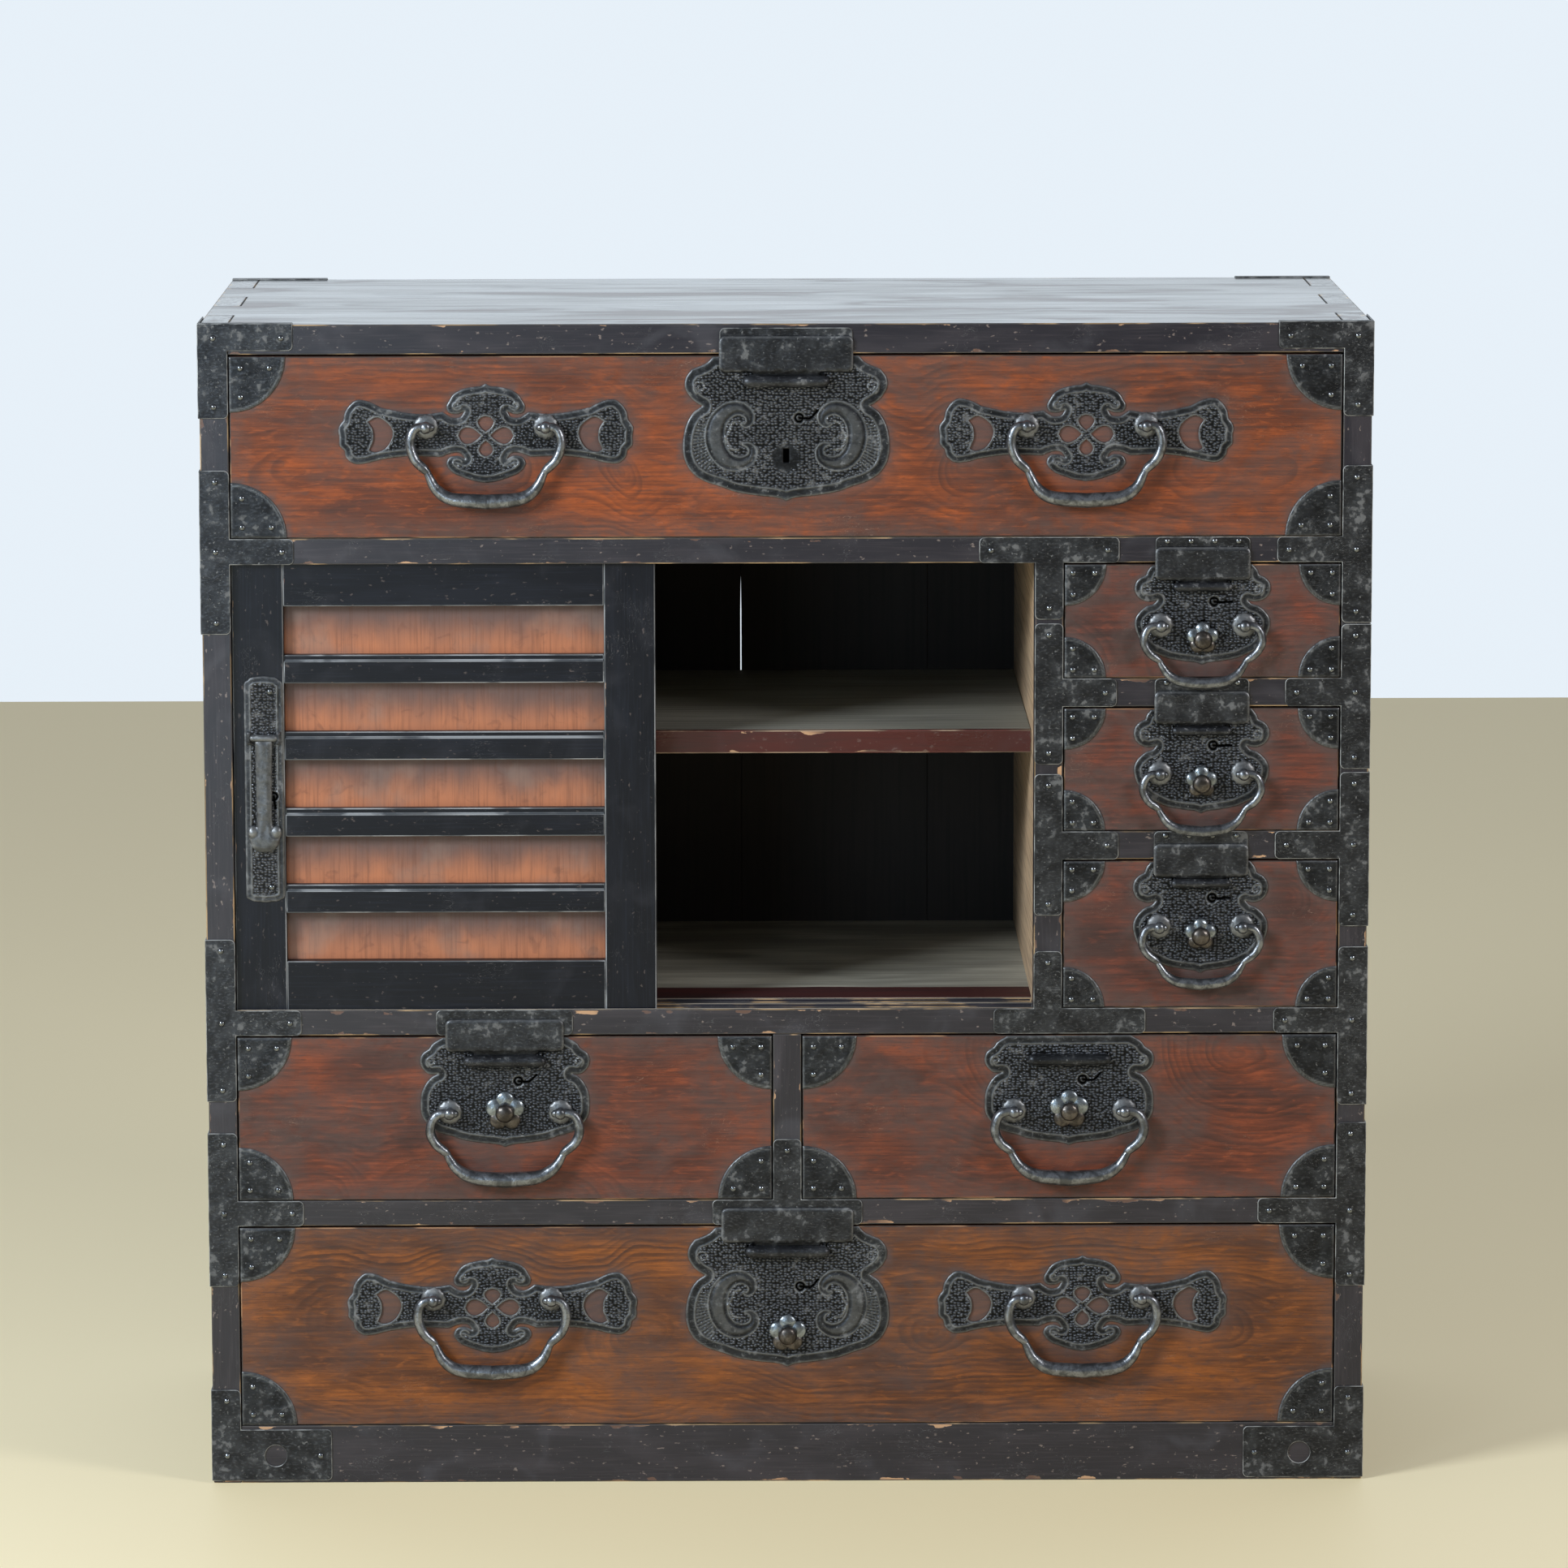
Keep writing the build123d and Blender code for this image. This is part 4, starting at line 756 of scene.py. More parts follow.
# ----------------------------------------------------------------------- plates with relief
def ease(t):
    t = np.clip(t, 0, 1)
    return t * t * (3 - 2 * t)


def ridge(distance, width):
    return np.exp(-((distance / width) ** 2))


def curve(points, step=OUTLINE_STEP):
    """Points about a step apart along a smooth curve through the given ones."""
    p = np.array(points, float)
    if len(p) == 2:
        count = max(2, int(np.linalg.norm(p[1] - p[0]) / step) + 1)
        return np.linspace(p[0], p[1], count)
    ends = [2 * p[0] - p[1], *p, 2 * p[-1] - p[-2]]
    rows = []
    for a, b, c, d in zip(ends, ends[1:], ends[2:], ends[3:]):
        count = max(2, int(np.linalg.norm(c - b) / step))
        t = np.linspace(0, 1, count, endpoint=False)[:, None]
        bend = (2 * a - 5 * b + 4 * c - d) * t**2 + (3 * b - a - 3 * c + d) * t**3
        rows.append(0.5 * (2 * b + (c - a) * t + bend))
    return np.vstack([*rows, p[-1:]])


def both_sides(half):
    """A closed outline from its right half, which starts and ends on the middle line."""
    left = half[::-1] * (-1, 1)
    return np.vstack([half, left[1:-1] if abs(half[0][0]) < 1e-6 else left])


def joined(rows):
    """One line from rows of points, each of which starts where the last one ends."""
    return np.vstack([row[:-1] for row in rows[:-1]] + [rows[-1]])


def runs(parts, scale=(1, 1)):
    """The right half of an outline from runs that meet at cusps."""
    return joined([curve(np.array(part) * scale) for part in parts])


def rounded(x0, x1, z0, z1, radius):
    """A rectangle's outline with rounded corners."""
    middle = np.array([(x0 + x1) / 2, (z0 + z1) / 2])
    half = np.array([(x1 - x0) / 2, (z1 - z0) / 2]) - radius
    rows = []
    for quarter in range(4):
        angles = math.radians(90) * (quarter + np.linspace(0, 1, ROUND_STEPS))
        corner = half * [(1, 1), (-1, 1), (-1, -1), (1, -1)][quarter]
        rows.append(middle + corner + radius * np.stack([np.cos(angles), np.sin(angles)], 1))
    loop = np.vstack(rows)
    sides = [curve([a, b]) for a, b in zip(loop, np.roll(loop, -1, 0))]
    return np.vstack([side[:-1] for side in sides])


def distance(points, line, closed=False):
    """Distance from each point to a line through many points."""
    line = np.array(line, float)
    if closed:
        line = np.vstack([line, line[:1]])
    start, step = line[:-1], np.diff(line, axis=0)
    length = np.maximum((step**2).sum(1), 1e-9)
    found = []
    for part in np.array_split(points, max(1, len(points) // MEASURED_AT_ONCE)):
        offset = part[:, None] - start
        share = np.clip((offset * step).sum(2) / length, 0, 1)
        found.append(np.sqrt(((offset - share[..., None] * step) ** 2).sum(2).min(1)))
    return np.concatenate(found)


def inside(points, loop):
    """Which points lie within a closed loop."""
    x, z = points[:, :1], points[:, 1:]
    x0, z0 = loop[:, 0], loop[:, 1]
    x1, z1 = np.roll(x0, -1), np.roll(z0, -1)
    crosses = (z0 > z) != (z1 > z)
    reach = x0 + (z - z0) * (x1 - x0) / np.where(z1 == z0, 1e-9, z1 - z0)
    return (crosses & (x < reach)).sum(1) % 2 == 1


def triangulate(loops, extra):
    """Triangles over the first loop without the others, through the extra points."""
    points = np.vstack([*loops, extra])
    edges, start = [], 0
    for loop in loops:
        edges += [(start + i, start + (i + 1) % len(loop)) for i in range(len(loop))]
        start += len(loop)
    flat = [Vector(p) for p in points]
    made = delaunay_2d_cdt(flat, edges, [], 1, 1e-5)
    points = np.array([tuple(v) for v in made[0]])
    faces = np.array([tuple(f) for f in made[2]])
    middles = points[faces].mean(1)
    keep = inside(middles, loops[0])
    for hole in loops[1:]:
        keep &= ~inside(middles, hole)
    return points, faces[keep]


def grid(low, high, step):
    """Points of a triangular grid over a rectangle."""
    rows = np.arange(low[1], high[1], step * ROW_SHARE)
    return np.array([
        (x + (index % 2) * step / 2, z)
        for index, z in enumerate(rows)
        for x in np.arange(low[0], high[0], step)
    ])


def relief(piece, loops, back, height, step=RELIEF_STEP, fine=()):
    """Adds a closed plate that stands on the plane y = back. height gives, for each point of
    its front, the height above the back and the three values of the iron's surface.
    fine lists places and radii where the points lie closer."""
    loops = [np.array(loop, float) for loop in loops]
    low, high = loops[0].min(0), loops[0].max(0)
    extra = grid(low, high, step)
    for middle, radius in fine:
        middle = np.array(middle)
        extra = extra[np.hypot(*(extra - middle).T) > radius]
        close = grid(middle - radius, middle + radius, FINE_STEP)
        extra = np.vstack([extra, close[np.hypot(*(close - middle).T) < radius]])
    extra = extra[inside(extra, loops[0])]
    for loop in loops[1:]:
        extra = extra[~inside(extra, loop)]
    clear = np.min([distance(extra, loop, True) for loop in loops], 0)
    points, faces = triangulate(loops, extra[clear > OUTLINE_CLEAR * min(step, OUTLINE_STEP)])
    edge = distance(points, loops[0], True)
    holes = [distance(points, loop, True) for loop in loops[1:]]
    hole = np.min(holes, 0) if holes else np.full(len(points), NO_HOLE)
    rise, values = height(points, edge, hole)
    front = np.stack([points[:, 0], back - rise, points[:, 1]], 1)
    border = {}
    for face in faces:
        meet_edges(border, face)
    rim = sorted({i for pair in border for i in pair})
    at = {i: len(points) + order for order, i in enumerate(rim)}
    rear = np.stack([points[rim, 0], np.full(len(rim), back), points[rim, 1]], 1)
    key = {tuple(np.round(points[i], 4)): at[i] for i in rim}
    back_points, back_faces = triangulate(loops, np.zeros((0, 2)))
    index = [key.get(tuple(np.round(p, 4)), -1) for p in back_points]
    walls = [(b, a, at[a], at[b]) for a, b in border]
    floor = [tuple(index[i] for i in face)[::-1] for face in back_faces]
    floor = [face for face in floor if min(face) >= 0]
    all_values = np.vstack([values, np.tile((0.0, BACK_RUB, 0.0), (len(rim), 1))])
    everything = np.vstack([front, rear])
    piece.add(everything, [tuple(f) for f in faces] + walls + floor, relief=all_values)


def surface(stipple, rub, pit):
    return np.clip(np.stack([stipple, rub, pit], 1), 0, 1)


def dents(points, depth, size, seed):
    """A gentle uneven height, the same for the same seed."""
    source = random.Random(seed)
    total = np.zeros(len(points))
    for _ in range(DENT_WAVES):
        angle = source.uniform(0, math.tau)
        wave = source.uniform(0.6, 1.5) / size
        phase = source.uniform(0, math.tau)
        along = points[:, 0] * math.cos(angle) + points[:, 1] * math.sin(angle)
        total += np.sin(along * wave * math.tau + phase)
    return depth * total / DENT_WAVES


def ornamented(rim, features=(), seed=0):
    """Height of a plate with a smooth rim, a ridge inside it, a stippled ground and features,
    each of which changes the height and the surface values in turn."""

    def height(points, edge, hole):
        rise = IRON * (0.45 + 0.55 * ease(edge / 0.9)) + dents(points, 0.12, 45, seed)
        line = ridge(edge - rim, 0.62)
        ground = ease((edge - rim - 0.7) / 0.8) * ease((hole - 1.2) / 0.8)
        lip = ridge(hole - 0.6, 0.7)
        rise = rise + 0.50 * line - 0.18 * ground + 0.25 * lip
        rub = np.maximum.reduce([0.9 * ridge(edge, 1.1), 0.8 * line, 0.9 * lip])
        state = {"rise": rise, "stipple": ground, "rub": rub, "pit": np.zeros(len(points))}
        for change in features:
            change(points, state)
        return state["rise"], surface(state["stipple"], state["rub"], state["pit"])

    return height


def feature(change):
    """A maker of features: its own numbers go to the change after the points and state."""
    return lambda *given: lambda points, state: change(points, state, *given)


@feature
def raised_line(points, state, line, width=0.7, rise=0.45):
    """A ridge along a line, as round a curl."""
    bump = ridge(distance(points, line), width)
    state["rise"] += rise * bump
    state["rub"] = np.maximum(state["rub"], 0.9 * bump)
    state["stipple"] *= 1 - bump


@feature
def raised_band(points, state, places, radii):
    """A smooth scroll of changing width, with a ridge and a groove along its border."""
    gaps = np.hypot(*(points[:, None] - places).transpose(2, 0, 1))
    depth = (radii - gaps).max(1)
    band = ease(depth / 1.0)
    border = ridge(depth, 0.55)
    groove = ridge(depth - 2.0, 0.9)
    state["rise"] += 0.8 * band * (0.4 + 0.6 * ease(depth / 4)) + 0.5 * border - 0.4 * groove
    state["stipple"] *= ease((-depth - 0.5) / 0.7)
    worn = 0.32 * ease((depth - 2.4) / 2.0)
    state["rub"] = np.maximum.reduce([state["rub"] * (1 - band), 0.85 * border, worn])


@feature
def smooth_disc(points, state, x, z, radius):
    """A smooth dark place round a slot."""
    worn = 1 - ease((np.hypot(points[:, 0] - x, points[:, 1] - z) - radius + 2) / 4)
    state["stipple"] *= 1 - worn
    state["pit"] = np.maximum(state["pit"], 0.35 * worn)


@feature
def sunk_slot(points, state, x, z, half_width, half_height):
    reach = np.maximum(abs(points[:, 0] - x) - half_width, abs(points[:, 1] - z) - half_height)
    sunk = 1 - ease((reach + 0.15) / 0.3)
    # The slot is painted near black as painted shade in its opening.
    state["pit"] = np.maximum(state["pit"], sunk)
    state["rise"] = state["rise"] * (1 - sunk) + 0.15 * sunk


@feature
def keyhole(points, state, key, tail):
    """A ring round its pin, with a tail for the key's bit, both painted near black as the shade inside
    the hole.
    """
    gap = np.hypot(points[:, 0] - key[0], points[:, 1] - key[1])
    ring = ridge(gap - KEY_RING, 0.8)
    bit = ridge(distance(points, tail), 1.0)
    sunk = np.clip(1.5 * np.maximum(ring, bit), 0, 1)
    collar = ridge(gap - KEY_COLLAR, 0.7) * (1 - sunk)
    state["stipple"] *= ease((gap - 4.4) / 1.0)
    state["rise"] = state["rise"] * (1 - 0.85 * sunk) + 0.4 * collar
    state["rub"] = np.maximum(state["rub"] * (1 - sunk), 0.6 * collar)
    state["rub"] = np.maximum(state["rub"], 0.5 * ridge(gap, 1.2))
    state["pit"] = np.maximum(state["pit"], sunk)


@feature
def hatching(points, state, x, z, side):
    """Short radial cuts in a ring about a middle, on its outer and lower sides."""
    dx, dz = (points[:, 0] - x) * side, points[:, 1] - z
    gap = np.hypot(dx, dz)
    low, high = HATCH_RING
    where = ease((gap - low) / 1.5) * (1 - ease((gap - high) / 1.5)) * state["stipple"]
    where *= ease((dx - 18) / 5) * ease((12 - dz) / 5) * ease((dz + 32) / 6)
    cuts = 0.5 + 0.5 * np.cos(np.arctan2(dz, dx) * HATCH_CUTS)
    state["rise"] += 0.35 * where * (cuts - 0.5)
    state["stipple"] *= 1 - 0.8 * where
    state["rub"] = np.maximum(state["rub"], 0.6 * where * cuts**2)


def spiral(x, z, start, turns, outer, inner, side=1):
    """Points of a spiral that winds inwards. side is -1 for its mirror image."""
    t = np.linspace(0, 1, max(10, int(24 * abs(turns))))
    angle = math.radians(start) + t * turns * math.tau
    radius = outer + (inner - outer) * t
    return np.stack([x + side * radius * np.cos(angle), z + radius * np.sin(angle)], 1)


# ------------------------------------------------------------------------------- round shapes
def add_rings(piece, rings, reverse, slot=0, rub=0.0):
    """Adds a solid from rings of points, each joined to the next, with flat ends. reverse
    is for rings that go round the other way."""
    sides = len(rings[0])
    points = [p for ring in rings for p in ring]
    faces = []
    for start in range(0, len(points) - sides, sides):
        for k in range(sides):
            a, b = start + k, start + (k + 1) % sides
            faces.append((a, a + sides, b + sides, b) if reverse else (a, b, b + sides, a + sides))
    first, last = tuple(range(sides)), tuple(range(len(points) - sides, len(points)))
    faces += [first, last[::-1]] if reverse else [first[::-1], last]
    piece.add(points, faces, slot, relief=[(0.0, rub, 0.0)] * len(points))


def tube(piece, path, radii, sides=18, rub=0.0):
    """Adds a round bar along a path with a radius at each point and rounded ends."""
    path = [Vector(p) for p in path]
    ends = list(zip([path[0], *path[:-1]], [*path[1:], path[-1]]))
    tangents = [(after - before).normalized() for before, after in ends]
    across = tangents[0].orthogonal().normalized()
    rings = []
    for i, (p, tangent) in enumerate(zip(path, tangents)):
        across = (across - tangent * across.dot(tangent)).normalized()
        other = tangent.cross(across)
        steps = [(-0.95, 0.35), (-0.6, 0.8)] * (i == 0) + [(0, 1.0)]
        steps += [(0.6, 0.8), (0.95, 0.35)] * (i == len(path) - 1)
        for forward, share in steps:
            middle = p + tangent * (forward * radii[i])
            rings.append([
                middle + (across * math.cos(a) + other * math.sin(a)) * (radii[i] * share)
                for a in (math.tau * k / sides for k in range(sides))
            ])
    add_rings(piece, rings, False, rub=rub)


def lathe(piece, x, z, profile, sides=24, wave=0.0, waves=0, slot=0, rub=0.0):
    """Adds a solid turned about a line along Y through x and z. The profile's points are
    radius and y, from the back to the front. wave is the depth of that many flutes."""
    rings = []
    for radius, y in profile:
        rings.append([])
        for a in (math.tau * k / sides for k in range(sides)):
            r = radius * (1 + wave * math.cos(waves * a))
            rings[-1].append((x + r * math.cos(a), y + 0.35 * (r - radius), z + r * math.sin(a)))
    add_rings(piece, rings, True, slot, rub)


def dome(y, radius, rise, steps=4):
    """The profile of a domed head on the plane y."""
    rows = [(radius, y)]
    for i in range(1, steps + 1):
        angle = math.radians(90) * i / steps
        rows.append((max(radius * math.cos(angle), radius * 0.06), y - rise * math.sin(angle)))
    return rows


def nail(piece, x, z, y, slot):
    lathe(piece, x, z, dome(y, NAIL_RADIUS, NAIL_RISE), sides=14, slot=slot)


# ---------------------------------------------------------------------------- the materials
LACQUER = lacquer("lacquer", (0.010, 0.009, 0.017), (0.044, 0.036, 0.046))
LACQUER_EDGE = worn_edge("lacquer_edge", (0.040, 0.036, 0.038), (0.36, 0.24, 0.13), 0.6)
DOOR_LACQUER = lacquer(
    "door_lacquer", (0.003, 0.004, 0.008), (0.012, 0.015, 0.026),
    rub=0.3, gloss=0.36, chip=0.4, specks=0.25, powder=0.10, shine=0.22,
)
# The doors' arrises: lacquer rubbed through in broken lengths, and the whole arris painted a lighter
# bluish grey as a painted highlight.
DOOR_EDGE_HIGHLIGHT = worn_edge("door_edge", (0.060, 0.066, 0.076), (0.26, 0.27, 0.29), 0.9)
TOP_WOOD = weathered_reflecting_wood("weathered_top")
TOP_KEYAKI = grained_wood(
    "top_keyaki", (0.290, 0.064, 0.013), (0.125, 0.031, 0.012), (0.032, 0.013, 0.010),
    figure=0.6, smudge=0.45, haze=0.7,
)
BOTTOM_KEYAKI = grained_wood(
    "bottom_keyaki", (0.245, 0.074, 0.014), (0.105, 0.034, 0.012), (0.030, 0.013, 0.010),
    ring=4.6, figure=0.75, smudge=0.45, haze=0.6,
)
HALF_KEYAKI = grained_wood(
    "half_keyaki", (0.210, 0.048, 0.018), (0.080, 0.025, 0.017), (0.026, 0.012, 0.010),
    ring=5.0, figure=0.6, smudge=0.65, haze=0.8,
)
SMALL_KEYAKI = grained_wood(
    "small_keyaki", (0.190, 0.043, 0.021), (0.056, 0.022, 0.019), (0.020, 0.011, 0.010),
    ring=5.0, figure=0.6, smudge=0.7, haze=0.8,
)
FRONT_EDGE = worn_edge("drawer_edge", (0.040, 0.026, 0.022), (0.30, 0.16, 0.085), 0.55)
PLAIN = plain_wood("plain_wood", (0.36, 0.24, 0.14), (0.19, 0.115, 0.065))
# Near-black wood for the back planks.
NEAR_BLACK_WOOD = plain_wood("smoked_wood", (0.016, 0.011, 0.010), (0.008, 0.006, 0.005))
DUSTY = plain_wood("dusty_wood", (0.300, 0.290, 0.255), (0.120, 0.112, 0.100), 0.5)
RIDGE_WOOD = plain_wood("worn_ridges", (0.72, 0.64, 0.54), (0.22, 0.17, 0.14), 0.1, 0.8)
POST_SIDE = plain_wood("partition_side", (0.55, 0.38, 0.24), (0.26, 0.17, 0.11), 0.2)
RED = lacquer(
    "red_lacquer", (0.058, 0.006, 0.006), (0.024, 0.005, 0.006),
    rub=0.6, gloss=0.28, specks=0.2, powder=0.08,
)
RED_EDGE = worn_edge("red_edge", (0.110, 0.030, 0.024), (0.34, 0.24, 0.17), 0.7)
BLACK_IRON = black_iron("black_iron", (0.019, 0.020, 0.024), (0.047, 0.050, 0.058), 0.65)
CARVED_IRON = black_iron("carved_iron", (0.012, 0.013, 0.016), (0.035, 0.038, 0.045), 0.6, 6.0)
RUBBED_IRON = rubbed_iron("rubbed_iron", (0.055, 0.057, 0.060), (0.300, 0.305, 0.310))
BRIGHT_IRON = bright_iron("bright_iron", (0.245, 0.260, 0.290), 0.6, 0.28)
# The upper petals' lighter iron is painted light from above. The darker rusty iron is rust on the
# ball, stem, disc and bolt, and rust and painted shade on the lower petals.
LIT_PETAL_IRON = bright_iron("petal_iron", (0.28, 0.315, 0.35), 0.5, 0.26)
RUSTY_SHADED_IRON = bright_iron("rusty_iron", (0.130, 0.116, 0.108), 0.6, 0.30)
NAIL_IRON = bright_iron("nail_iron", (0.20, 0.215, 0.235), 0.3, 0.14)


# ---------------------------------------------------------------------------------- the case
def top_faces(middle, low, high, slot):
    """The weathered wood lies on top, and lacquer on the other faces."""
    return 2 if slot == 0 and middle[2] > high[2] - ON_TOP else slot


def open_joint(points, low, high):
    """The back planks' middle joint has opened over part of its height."""
    open_part = (points[:, 2] > CRACK_HEIGHTS[0]) & (points[:, 2] < CRACK_HEIGHTS[1])
    for edge, way in ((low[0], 1), (high[0], -1)):
        if abs(edge - CRACK_X) < NEAR:
            points[open_part & (abs(points[:, 0] - edge) < NEAR), 0] += way * CRACK_WIDTH / 2
    return points


def case():
    wood = [LACQUER, LACQUER_EDGE]
    open_wood = wood + [TOP_WOOD]
    for side in ("left", "right"):
        boards(f"side_panel_{side}", "case", open_wood, "lacquered_wood", by_face=top_faces)
    boards("top_board", "case", open_wood, "top_wood", by_face=top_faces)
    boards("bottom_board", "case", [PLAIN, PLAIN], "plain_wood")
    boards("base_frame", "case", wood, "lacquered_wood")
    planks = [NEAR_BLACK_WOOD, NEAR_BLACK_WOOD]
    boards("back_planks", "case", planks, "plain_wood", 0.6, shape=open_joint, step=CRACK_STEP)
    boards("front_rails", "case", wood, "lacquered_wood")
    tracks = wood + [RIDGE_WOOD]
    boards("door_tracks", "case", tracks, "lacquered_wood", by_face=top_faces)
    tops = [limits(track)[1][2] for track in solids("door_tracks")]
    shelf_low = box_mm("compartment_shelf")[0][2]
    sill_top = max(top for top in tops if top < shelf_low - SILL_CLEAR)
    strip_back = box_mm("door_tracks")[1][1] + RED_STRIP
    floor = floor_wood(
        "dusty_floor", (0.480, 0.465, 0.400), (0.170, 0.155, 0.130), strip_back, sill_top
    )
    boards("dust_boards", "case", [floor, floor], "plain_wood", width=0.5)

    def shelf_faces(middle, low, high, slot):
        return slot if high[1] - low[1] < LIP_DEPTH else 2

    shelf = [RED, RED_EDGE, DUSTY]
    boards("compartment_shelf", "case", shelf, "red_lacquer", by_face=shelf_faces)

    def partition_faces(middle, low, high, slot):
        return slot if high[1] - low[1] < POST_EDGE else 2

    post = [LACQUER, LACQUER_EDGE, POST_SIDE]
    boards("partitions", "case", post, "lacquered_wood", by_face=partition_faces)


def on_rail_plate(place):
    """Whether a nail is one of those that a flap's plate on the rail hides."""
    for name, (kind, _) in DRAWERS.items():
        low, high = box_mm(f"drawer_{name}_front")
        near = abs(place[0] - (low[0] + high[0]) / 2) < LOCK_WIDTH[kind] / 2
        if kind != "small" and near and 0 < place[2] - high[2] < RAIL_NAILS:
            return True
    return False


def straps():
    """The case's irons, with rubbed arrises, and their domed nails."""
    piece = Piece()
    for triangles in solids("case_irons"):
        low, high = limits(triangles)
        if max(high - low) < NAIL_REACH:
            if on_rail_plate((low + high) / 2):
                continue
            nail(piece, (low[0] + high[0]) / 2, (low[2] + high[2]) / 2, high[1], 2)
        else:
            points, faces, slots = eased(triangles, EASED_IRON)
            piece.add(points, faces, slots, smooth=False)
    irons = [BLACK_IRON, RUBBED_IRON, NAIL_IRON]
    piece.make("case_straps", "case", irons, ["case_irons"])


# ------------------------------------------------------------------------------------- doors
def doors():
    wood = [DOOR_LACQUER, DOOR_EDGE_HIGHLIGHT]
    slats = [limits(t) for t in solids("door_front_frame")]
    tops = sorted(high[2] for low, high in slats if high[2] - low[2] < SLAT_HEIGHT)
    pitch = tops[1] - tops[0]
    panel_low = box_mm("door_front_panel")[0][2]
    panel = door_panel_wood("door_panel", panel_low, pitch)
    for door in ("door_front", "door_rear"):
        boards(f"{door}_frame", door, wood, "lacquered_wood")
        boards(f"{door}_panel", door, [panel, panel], "keyaki", width=0.3)


def bowed_plate(x0, x1, z0, z1):
    """The outline of a tall plate whose ends bow a little."""
    middle, half, corner = (x0 + x1) / 2, (x1 - x0) / 2, 3.0
    right = runs([
        [(0, z0), (half * 0.6, z0 + 0.9), (half - corner, z0 + 2.2)],
        [(half - corner, z0 + 2.2), (half - 0.6, z0 + 3.4), (half, z0 + 6)],
        [(half, z0 + 6), (half, z1 - 7)],
        [(half, z1 - 7), (half - 0.8, z1 - 4.6), (half - corner, z1 - 3.2)],
        [(half - corner, z1 - 3.2), (half * 0.6, z1 - 1.1), (0, z1)],
    ])
    return both_sides(right) + (middle, 0)


def door_iron():
    """The front door's lock plate and lever."""
    (x0, _, z0), (x1, back, z1) = box_mm("door_front_plate")
    lever_low, lever_high = box_mm("door_lever")
    x = (x0 + x1) / 2
    axis_z = lever_high[2] - LEVER_AXIS
    key = (x + DOOR_KEY[0], axis_z - DOOR_KEY[1])
    tail = curve([key, (key[0] + 1.5, key[1] - 9)])
    features = [keyhole(key, tail)]
    outline = bowed_plate(x0, x1, z0, z1)
    piece = Piece()
    relief(piece, [outline], back, ornamented(4.6, features, 3), fine=[(key, 7)])
    front = back - IRON

    def lug_height(points, edge, hole):
        rise = LUG_RISE * (0.6 + 0.4 * ease(edge / 1.2))
        return rise, surface(0 * edge, 0.45 * ridge(edge, 0.8), 0 * edge)

    for sign in (-1, 1):
        nail_z = (z0 + z1) / 2 + sign * ((z1 - z0) / 2 - DOOR_NAIL[1])
        nail(piece, x + DOOR_NAIL[0], nail_z, front, 1)
        lug = x + sign * LUG_STEP
        tab = rounded(lug - 1.8, lug + 1.8, axis_z - 5.4, axis_z + 5.0, 1.2)
        relief(piece, [tab], front + 0.3, lug_height)
    irons = [BLACK_IRON, NAIL_IRON]
    piece.make("door_lock_plate", "door_front", irons, ["door_front_plate"])

    lever = Piece()
    y = (lever_low[1] + lever_high[1]) / 2
    ends = [(x - LEVER_HALF, y, axis_z), (x + LEVER_HALF, y, axis_z)]
    tube(lever, ends, [2.6, 2.6], rub=0.7)
    end_z = lever_low[2] + LEVER_FOOT
    strap = [
        [(0, end_z - 11.4), (5.6, end_z - 10.4), (9.9, end_z - 6.6), (11.7, end_z - 0.6)],
        [(11.7, end_z - 0.6), (13.2, end_z + 2.6), (12.7, end_z + 7.2), (9.4, end_z + 9.4),
         (6.6, end_z + 8.6)],
        [(6.6, end_z + 8.6), (6.0, end_z + 14), (6.0, end_z + 26), (6.6, axis_z - 4)],
        [(6.6, axis_z - 4), (6.6, axis_z - 1)],
    ]
    outline = both_sides(runs(strap)) + (x, 0)

    def height(points, edge, hole):
        across, up = abs(points[:, 0] - x), points[:, 1] - end_z
        rise = 1.6 * (0.5 + 0.5 * ease(edge / 1.1)) + 0.9 * ease(edge / 4)
        lobe = ridge(np.hypot(across - 9.6, up - 4.8), 3.4)
        waist = ridge(np.hypot(across - 9.6, up - 4.8) - 4.6, 0.8) * ease((9 - up) / 3)
        rise += 0.8 * ridge(np.hypot(across, up + 2), 7) + 0.7 * lobe - 0.6 * waist
        rise += dents(points, 0.5, 11, "lever")
        rub = 0.42 + 0.5 * ridge(edge, 0.8) + 0.9 * lobe - 0.4 * waist
        return rise, surface(0 * edge, rub, 0.25 * ease((-5 - up) / 4))

    relief(lever, [outline], y + 0.8, height, step=1.2)
    lever.make("door_lever_iron", "door_lever", [BLACK_IRON], ["door_lever"])


# ----------------------------------------------------------------------------------- drawers
def lock_outline(name, x, top):
    kind, height = DRAWERS[name]
    half = runs(LOCK_RUNS[kind], (LOCK_WIDTH[kind] / 2, height))
    return both_sides(half) + (x, top - height)


